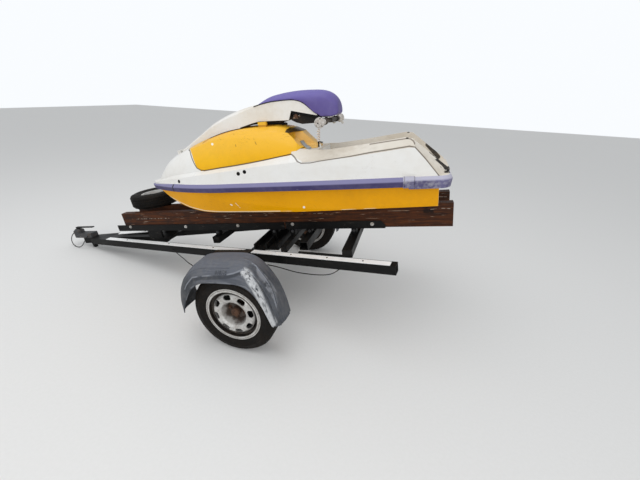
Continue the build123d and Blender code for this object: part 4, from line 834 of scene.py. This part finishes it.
def makeChinPad():
    # the solid pad evenly remeshed and softened round its shoulders, then blown up a little as cloth,
    # held where it lies on the pole: point = start + min(movement, swell)
    mesh = cadObject("chin_pad").data.copy()
    cleanMesh(mesh, 40.0)
    pad = bpy.data.objects.new("chinPad", mesh)
    scene.collection.objects.link(pad)
    even = pad.modifiers.new("even", "REMESH")
    even.mode = "VOXEL"
    even.voxel_size = padShape["voxel"]
    even.use_smooth_shade = True
    soft = pad.modifiers.new("soft", "SMOOTH")
    soft.factor, soft.iterations = 0.5, padShape["softenSteps"]
    takeModifiers(pad)
    start = meshPoints(pad.data)
    normals = np.empty(len(start) * 3)
    pad.data.vertices.foreach_get("normal", normals)
    craftNormals = turnedY(normals.reshape(-1, 3), stand["craftTilt"] - stand["lean"])
    held = pad.vertex_groups.new(name="held")
    held.add(np.flatnonzero(craftNormals[:, 2] < -0.3).tolist(), 1.0, "REPLACE")
    cloth = pad.modifiers.new("blown", "CLOTH")
    cloth.settings.use_pressure = True
    cloth.settings.uniform_pressure_force = padShape["pressure"]
    cloth.settings.effector_weights.gravity = 0.0
    cloth.settings.vertex_group_mass = "held"
    for step in range(1, padShape["steps"] + 1):
        scene.frame_set(step)
    takeModifiers(pad)
    scene.frame_set(1)
    moved = meshPoints(pad.data) - start
    far = np.linalg.norm(moved, axis=1, keepdims=True)
    moved *= np.minimum(1.0, padShape["swell"] / np.maximum(far, 1e-9))
    pad.data.vertices.foreach_set("co", (start + moved).ravel())
    rounder = pad.modifiers.new("rounder", "SUBSURF")
    rounder.levels = rounder.render_levels = 1
    pad.data.materials.clear()
    pad.data.materials.append(materials["purpleVinyl"])
    pad.data.polygons.foreach_set("use_smooth", [True] * len(pad.data.polygons))
    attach(pad, "handle_pole")
    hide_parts("chin_pad")


makeChinPad()

# the black edging between pad and cover, along the cover's rim: x, height, half width in the craft frame
padEdging = {"radius": 0.003, "rim": [
    (1.24, 0.492, 0.0785), (1.202, 0.5, 0.0785), (1.118, 0.5095, 0.0785), (1.039, 0.5095, 0.0785), (0.978, 0.5085, 0.0785),
    (0.928, 0.4995, 0.0785), (0.889, 0.4795, 0.0775), (0.859, 0.4505, 0.0765), (0.837, 0.4265, 0.0755), (0.815, 0.4105, 0.0745)]}
rimPoints = np.array(padEdging["rim"])[:, [0, 2, 1]]
edgings = [craftBar(p, 60, padEdging["radius"], padEdging["radius"], 10, up=(0, 1, 0)) for s, p in bothWays(rimPoints)]
makeSurface("padEdging", edgings, "blackRubber", "handle_pole")
# dark flat bars under the cover's rear edge, either side of the arm: craft frame, with a hinge barrel on each
sideBars = {"line": [(0.992, 0.052, 0.431), (0.93, 0.052, 0.424), (0.87, 0.052, 0.41), (0.812, 0.052, 0.392)],
            "halfWidth": 0.005, "halfHeight": 0.014, "barrel": (0.958, 0.052, 0.408)}
barParts = [craftBar(p, 20, sideBars["halfWidth"], sideBars["halfHeight"], power=0.45) for s, p in bothWays(sideBars["line"])]
makeSurface("poleSideBars", barParts, "blackPaint", "handle_pole")
barrelRows = [(0, -0.012), (0.0115, -0.012), (0.0125, -0.01), (0.0125, 0.01), (0.0115, 0.012), (0, 0.012)]
barrels = [turnedGrid(fromCraft(p), (0, s, 0), barrelRows, 24) for s, p in bothWays(sideBars["barrel"])]
makeSurface("poleHinges", barrels, "rustyIron", "handle_pole", 30.0)
print("chin pad made")

# mudguard: share of the width, then the arch's (x, height) points from front to rear in the trailer frame
guardShape = {
    "rows": [
        (0.0, [(0.352, 0.015), (0.36, 0.09), (0.345, 0.16), (0.312, 0.23), (0.255, 0.29), (0.195, 0.33), (0.13, 0.345),
               (0.0, 0.349), (-0.115, 0.346), (-0.184, 0.308), (-0.232, 0.242), (-0.272, 0.165), (-0.3, 0.06), (-0.31, -0.054)]),
        (0.45, [(0.356, 0.015), (0.364, 0.09), (0.347, 0.162), (0.314, 0.23), (0.256, 0.288), (0.196, 0.326), (0.13, 0.34),
                (0.0, 0.343), (-0.118, 0.34), (-0.188, 0.303), (-0.235, 0.239), (-0.275, 0.163), (-0.301, 0.06), (-0.31, -0.054)]),
        (0.725, [(0.352, 0.018), (0.357, 0.09), (0.338, 0.16), (0.302, 0.224), (0.242, 0.276), (0.18, 0.306), (0.118, 0.317),
                 (0.0, 0.319), (-0.12, 0.316), (-0.192, 0.285), (-0.238, 0.227), (-0.273, 0.156), (-0.295, 0.058),
                 (-0.303, -0.05)]),
        (0.91, [(0.33, 0.022), (0.326, 0.092), (0.302, 0.158), (0.262, 0.208), (0.205, 0.246), (0.155, 0.266), (0.1, 0.276),
                (0.0, 0.278), (-0.125, 0.276), (-0.192, 0.246), (-0.23, 0.194), (-0.256, 0.134), (-0.272, 0.05), (-0.287, -0.042)]),
        (1.0, [(0.309, 0.026), (0.29, 0.075), (0.262, 0.125), (0.222, 0.183), (0.18, 0.219), (0.14, 0.24), (0.1, 0.249),
               (0.0, 0.249), (-0.125, 0.245), (-0.18, 0.212), (-0.214, 0.165), (-0.24, 0.105), (-0.26, 0.035), (-0.283, -0.036)]),
    ],
    "innerY": 0.65, "width": 0.2, "wall": 0.004, "ribDepth": 0.001, "ribs": 17, "ridge": 0.007, "lip": 0.007,
    # where along the arch (0 to 13) each raised line lies across the width (0 to 1)
    "ridgeLine": ([7.2, 8.3, 9.0, 10.4, 12.0], [0.86, 0.74, 0.75, 0.82, 0.86]),
    "creaseLine": ([6.0, 8.0, 9.6, 10.6, 11.6, 12.6], [0.3, 0.32, 0.43, 0.47, 0.6, 0.74]),
    "wornEdge": [(0.0, 0.0), (0.7, 0.02), (0.8, 0.0), (0.84, 0.1), (0.88, 0.02), (0.93, 0.16), (0.97, 0.06), (1.0, 0.22)],
}


def makeGuard(side, name, node):
    # point(u, v): the five arches blended across by v and averaged over a short stretch of u, which rounds their bends;
    # then pushed out along the normal by ribs cos(ribs v), humps exp(-(v - line)^2 / width^2), and a lip near the rear edge
    g = guardShape
    shares = np.array([r[0] for r in g["rows"]])
    arches = np.array([r[1] for r in g["rows"]])
    u, v = np.meshgrid(np.linspace(0, 13, 157), np.linspace(0, 1, 61), indexing="ij")
    worn = np.interp(v, *zip(*g["wornEdge"]))
    u = u * (1 - worn * np.clip(u - 11, 0, 2) / 2 / 13)

    def sample(uu, vv):
        low = np.clip(np.floor(uu).astype(int), 0, 12)
        part = (uu - low)[..., None]
        row = np.clip(np.searchsorted(shares, vv, side="right") - 1, 0, 3)
        across = ((vv - shares[row]) / (shares[row + 1] - shares[row]))[..., None]
        first = arches[row, low] * (1 - part) + arches[row, low + 1] * part
        second = arches[row + 1, low] * (1 - part) + arches[row + 1, low + 1] * part
        return first * (1 - across) + second * across

    total = 0
    for du in (-0.36, -0.18, 0.0, 0.18, 0.36):
        for dv in (-0.05, 0.0, 0.05):
            reachU = np.minimum(1.0, np.minimum(u, 13 - u) / 0.4)
            reachV = np.minimum(1.0, np.minimum(v, 1 - v) / 0.06)
            total = total + sample(np.clip(u + du * reachU, 0, 13), np.clip(v + dv * reachV, 0, 1))
    flat = total / 15
    points = np.stack([flat[..., 0], g["innerY"] + v * g["width"], flat[..., 1]], -1)
    normal = unit(np.cross(np.gradient(points, axis=1), np.gradient(points, axis=0)))
    ridgeLine, creaseLine = np.interp(u, *g["ridgeLine"]), np.interp(u, *g["creaseLine"])

    def hump(line, width):
        return np.exp(-((v - line) / width) ** 2)

    behind = np.clip((u - 7.6) / 0.8, 0, 1)
    push = g["ribDepth"] * np.cos(v * tau * g["ribs"]) * (v < 0.68) * np.clip((9.5 - u) / 1.5, 0.25, 1)
    push += g["ridge"] * behind * (hump(creaseLine, 0.016) + 0.8 * hump(ridgeLine, 0.02) - 0.7 * hump(ridgeLine - 0.05, 0.02))
    push += g["lip"] * np.clip((u - 12.75) / 0.25, 0, 1) ** 2 * (v > 0.12) - 0.004 * (np.abs(v - 0.72) < 0.012) * (u < 7.5)
    points = (points + normal * push[..., None]) * (1, side, 1)
    guard = makeSurface(name, [(fromTrailer(points), False)], "guardPlastic", sharp=50.0)
    work = bmesh.new()
    work.from_mesh(guard.data)
    top = max(work.faces, key=lambda face: face.calc_center_median().z)
    if top.normal.z < 0:
        bmesh.ops.reverse_faces(work, faces=work.faces)
    work.to_mesh(guard.data)
    work.free()
    wall = guard.modifiers.new("wall", "SOLIDIFY")
    wall.thickness, wall.offset = g["wall"], -1.0
    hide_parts(node)


makeGuard(1, "guardShellLeft", "mudguard_left")
makeGuard(-1, "guardShellRight", "mudguard_right")
print("mudguards made")

clip = sweptGrid(fromTrailer(clipLine), 0.0048, 0.0032, 12, 0.6, up=(0, 1, 0))
makeSurface("lanyardClip", [clip], "blackRubber", "steering_bar")
tab = sweptGrid(fromTrailer(clipLine[1:] + (-0.009, 0, -0.004)), 0.005, 0.0022, 12, 0.5, up=(0, 1, 0))
makeSurface("lanyardTab", [tab], "whitePlastic", "steering_bar")
connectorLine = [(0.346, 0.6215, 0.23), (0.336, 0.6295, 0.2318), (0.328, 0.6355, 0.233)]
makeSurface("wireConnector", [sweptGrid(fromTrailer(connectorLine), 0.0055, 0.0055, 12)], "whitePlastic")

# fasteners: places in the trailer frame, metres
fasteners = {
    "iron": [(1.341, 0.336), (0.751, 0.329), (0.257, 0.331), (-0.201, 0.335), (-0.779, 0.327)], "ironSize": 0.0085,
    "railScrews": [0.204, 0.444, 0.712, 1.136, 1.408, 1.9, 2.45], "screwSize": 0.0055,
    "uprights": [0.468, -0.033, -0.184, -0.318, -0.646], "uprightHeight": 0.272, "uprightSize": 0.0075,
    "railCorner": (-0.95, 0.508), "railAngle": 8.8, "screwInward": -0.025, "railTop": 0.2,
}


def railPoint(along, inward, height):
    # rail coordinates: origin at the rail's rear top corner, turned inward by the rail's angle
    a = radians(fasteners["railAngle"])
    x, y = fasteners["railCorner"]
    return np.array([x + along * cos(a) + inward * sin(a), y - along * sin(a) + inward * cos(a), height])


# the irons come closer together toward the front: half distance 0.164 - 0.01267 (x + 1.283)
ironFace = [(x, 0.164 - 0.01267 * (x + 1.283), z) for x, z in fasteners["iron"]]
ironBolts = [hexBolt(fromTrailer((x, y * s, z)), (0, s, 0), fasteners["ironSize"], 0.3 + 1.7 * x)
             for x, y, z in ironFace for s in (1, -1)]
makeSurface("ironBolts", ironBolts, "zincPlate", sharp=30.0)
uprightBolts = [hexBolt(fromTrailer((x, 0.13 * s, fasteners["uprightHeight"])), (0, s, 0), fasteners["uprightSize"], x)
                for x in fasteners["uprights"] for s in (1, -1)]
makeSurface("uprightBolts", uprightBolts, "greyCasting", sharp=30.0)
railUp = unit(turnedY((0, 0, 1), stand["lean"]))
screwPlaces = [railPoint(a, fasteners["screwInward"], fasteners["railTop"]) * (1, s, 1)
               for a in fasteners["railScrews"] for s in (1, -1)]
stripScrews = [panScrew(fromTrailer(p), railUp, fasteners["screwSize"]) for p in screwPlaces]
makeSurface("stripScrews", stripScrews, "darkSteel", sharp=30.0)
print("fasteners made")


# wheels: bolt circle and cap on the axle line, metres from the wheel's middle plane
wheelFittings = {"middle": 0.739, "boltCircle": 0.05, "bolts": 4, "boltSize": 0.01, "face": 0.004, "capRadius": 0.0285,
                 "capFrom": 0.026, "capTop": 0.043}
w = wheelFittings
for side, label in ((1, "Left"), (-1, "Right")):
    centre = axle + np.array([0.0, side * w["middle"], 0.0])
    outward = np.array([0.0, float(side), 0.0])
    wheelBody = "wheel_" + label.lower()
    turns = np.arange(w["bolts"]) * tau / w["bolts"] + 0.12
    places = [centre + outward * w["face"] + w["boltCircle"] * np.array([cos(a), 0.0, sin(a)]) for a in turns]
    makeSurface("wheelBolts" + label, [hexBolt(p, outward, w["boltSize"], 0.4) for p in places], "rustyIron", wheelBody, 30.0)
    r, low, high = w["capRadius"], w["capFrom"], w["capTop"]
    capShape = [(0, low), (r + 0.003, low), (r + 0.003, low + 0.004), (r, low + 0.005), (r, high - 0.006),
                (r * 0.86, high - 0.001), (r * 0.6, high), (r * 0.3, high - 0.001), (0, high - 0.0015)]
    makeSurface("hubCap" + label, [turnedGrid(centre, outward, capShape, 28)], "rustyIron", wheelBody, 35.0)
    drumShape = [(0.066, -0.05), (0.125, -0.05), (0.13, -0.045), (0.13, 0.006), (0.124, 0.012), (0.086, 0.012), (0.074, 0.002),
                 (0.066, -0.014), (0.066, -0.05)]
    makeSurface("brakeDrum" + label, [turnedGrid(centre, outward, drumShape, 48)], "blackPaint", wheelBody, 35.0)
print("wheel fittings made")

# grips: (radius, distance from the middle) rows in the bar's direction; the bar's line in the craft frame
gripShape = {"bar": (0.74, 0.0, 0.361), "ribs": 9, "from": 0.19, "to": 0.272}


def makeGrip(side, name, node):
    # profile rows: a ribbed sleeve, radius 16.2 mm + 0.8 mm cos, then a wide flange, a neck and a round end cap
    s = np.linspace(0, 1, 73)
    sleeve = np.stack([0.0162 + 0.0008 * np.cos(s * tau * gripShape["ribs"]),
                       gripShape["from"] + s * (gripShape["to"] - gripShape["from"])], -1)
    head = [(0.029, 0.274), (0.03, 0.277), (0.03, 0.285), (0.0285, 0.288), (0.0205, 0.29), (0.018, 0.294), (0.018, 0.301),
            (0.0195, 0.303), (0.02, 0.306), (0.02, 0.312), (0.0185, 0.3155), (0.011, 0.316), (0.0045, 0.3155), (0.004, 0.312),
            (0.0, 0.312)]
    rows = np.concatenate([[(r, gripShape["from"]) for r in (0.0, 0.0112, 0.015)], sleeve, head])
    grip = makeSurface(name, [turnedGrid(fromCraft(gripShape["bar"]), (0, side, 0), rows, 32)], "weatheredGrip", "steering_bar",
                       35.0)
    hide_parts(node)
    heads = [(0.0235 * cos(a), side * 0.2885, 0.0235 * sin(a)) for a in (1.9, 4.0, 5.6)] + [(0, side * 0.315, 0)]
    screws = [panScrew(fromCraft(np.array(gripShape["bar"]) + p), (0, side, 0), 0.0034) for p in heads]
    makeSurface(name + "Screws", screws, "blackRubber", "steering_bar", 30.0)


makeGrip(1, "gripSleeveLeft", "grip_left")
makeGrip(-1, "gripSleeveRight", "grip_right")

# throttle on the far side, straps on the hood, and a black sheet standing in for the shadow between the cover and the
# hood: craft frame, metres
throttle = {"lever": [(0.8, -0.178, 0.369), (0.774, -0.188, 0.373), (0.752, -0.2, 0.367), (0.731, -0.212, 0.354),
                      (0.716, -0.22, 0.338), (0.709, -0.224, 0.324)],
            "knob": (0.768, -0.2, 0.34)}
makeSurface("throttleLever", [craftBar(throttle["lever"], 26, 0.0085, 0.0032, power=0.6, up=(0, 1, 0))], "whitePlastic",
            "steering_bar")
knobRows = [(0, -0.004), (0.0105, -0.004), (0.0125, -0.001), (0.013, 0.006), (0.012, 0.011), (0.0085, 0.0145), (0.004, 0.016),
            (0, 0.0164)]
makeSurface("throttleKnob", [turnedGrid(fromCraft(throttle["knob"]) + (0, -0.006, 0), (0, 1, 0), knobRows, 24)], "whitePlastic",
            "steering_bar")
barRing = [(0.0112, -0.02), (0.0185, -0.02), (0.0195, -0.018), (0.0195, 0.018), (0.0185, 0.02), (0.0112, 0.02), (0.0112, -0.02)]
for y in (0.165, -0.165):
    at = np.array(gripShape["bar"]) + (0, y, 0)
    stalk = craftBar([at + (0.01, 0, 0.01), at + (0.024, 0, 0.002), at + (0.03, 0, -0.014)], 14, 0.012, 0.008, power=0.7,
                     up=(0, 1, 0))
    makeSurface("barSwitch" + ("Left" if y > 0 else "Right"), [turnedGrid(fromCraft(at), (0, 1, 0), barRing, 28), stalk],
                "darkSteel", "steering_bar")

strapShape = {"line": [(0.936, 0.064, 0.25), (0.928, 0.076, 0.243), (0.908, 0.103, 0.231), (0.89, 0.127, 0.222),
                       (0.872, 0.142, 0.215), (0.856, 0.152, 0.208)], "halfWidth": 0.013, "halfThick": 0.003}
straps = [craftBar(p, 24, strapShape["halfWidth"], strapShape["halfThick"], power=0.5, up=(-0.35, 0.62 * s, 0.66))
          for s, p in bothWays(strapShape["line"])]
makeSurface("hoodStraps", straps, "greyRubber")
# painted shadow: a black rubber sheet put in the shade between the cover and the hood
shadowSheetShape = {"line": [(1.245, 0, 0.374), (1.19, 0, 0.375), (1.12, 0, 0.372), (1.065, 0, 0.364)], "halfWidth": 0.04,
             "halfHeight": 0.01}
makeSurface("hoodShadowSheet", [craftBar(shadowSheetShape["line"], 30, shadowSheetShape["halfWidth"], shadowSheetShape["halfHeight"], 18)], "blackRubber")
print("handlebar and hood fittings made")

floorSettings = {"size": 40.0, "colour": (0.78, 0.775, 0.765), "mottle": (0.74, 0.735, 0.72)}
lights = {"skyStrength": 0.7, "skyColour": (0.95, 0.975, 1.0), "panels": [
    ("skyPanel", (0.6, 1.2, 5.0), (-0.2, 0.0, 0.6), (5.0, 4.0), 86.0),
    ("sideFill", (-1.6, 5.4, 2.4), (-0.2, 0.0, 0.6), (4.0, 2.6), 70.0)]}


def makeFloor():
    # flat square, edge length size
    half = floorSettings["size"] / 2
    mesh = bpy.data.meshes.new("paleFloor")
    mesh.from_pydata([(-half, -half, 0), (half, -half, 0), (half, half, 0), (-half, half, 0)], [], [(0, 1, 2, 3)])
    floor = bpy.data.objects.new("paleFloor", mesh)
    scene.collection.objects.link(floor)
    material, tree, shader, coords = startMaterial("paleGround")
    noise = addNode(tree, "ShaderNodeTexNoise", {"Vector": coords, "Scale": 60.0, "Detail": 4.0})
    tree.links.new(mixColour(tree, noise.outputs["Fac"], floorSettings["colour"], floorSettings["mottle"]),
                   shader.inputs["Base Color"])
    shader.inputs["Roughness"].default_value = 0.9
    mesh.materials.append(material)


def makeSky():
    # plain soft sky; white where the camera sees it and through glass, skyStrength for the other rays
    world = bpy.data.worlds.new("softSky")
    scene.world = world
    world.use_nodes = True
    tree = world.node_tree
    rays = tree.nodes.new("ShaderNodeLightPath").outputs
    seen = maths(tree, "MAXIMUM", rays["Is Camera Ray"], rays["Is Transmission Ray"])
    background = tree.nodes["Background"]
    tree.links.new(between(tree, seen, 0.0, 1.0, lights["skyStrength"], 1.0), background.inputs["Strength"])
    giveInput(tree, background.inputs["Color"], lights["skyColour"])


def addPanel(name, place, aim, size, power):
    data = bpy.data.lights.new(name, "AREA")
    data.shape = "RECTANGLE"
    data.size, data.size_y = size
    data.energy = power
    lamp = bpy.data.objects.new(name, data)
    scene.collection.objects.link(lamp)
    lamp.location = place
    lamp.rotation_euler = (Vector(aim) - Vector(place)).to_track_quat("-Z", "Y").to_euler()


makeFloor()
makeSky()
for panel in lights["panels"]:
    addPanel(*panel)
print("floor and light ready")
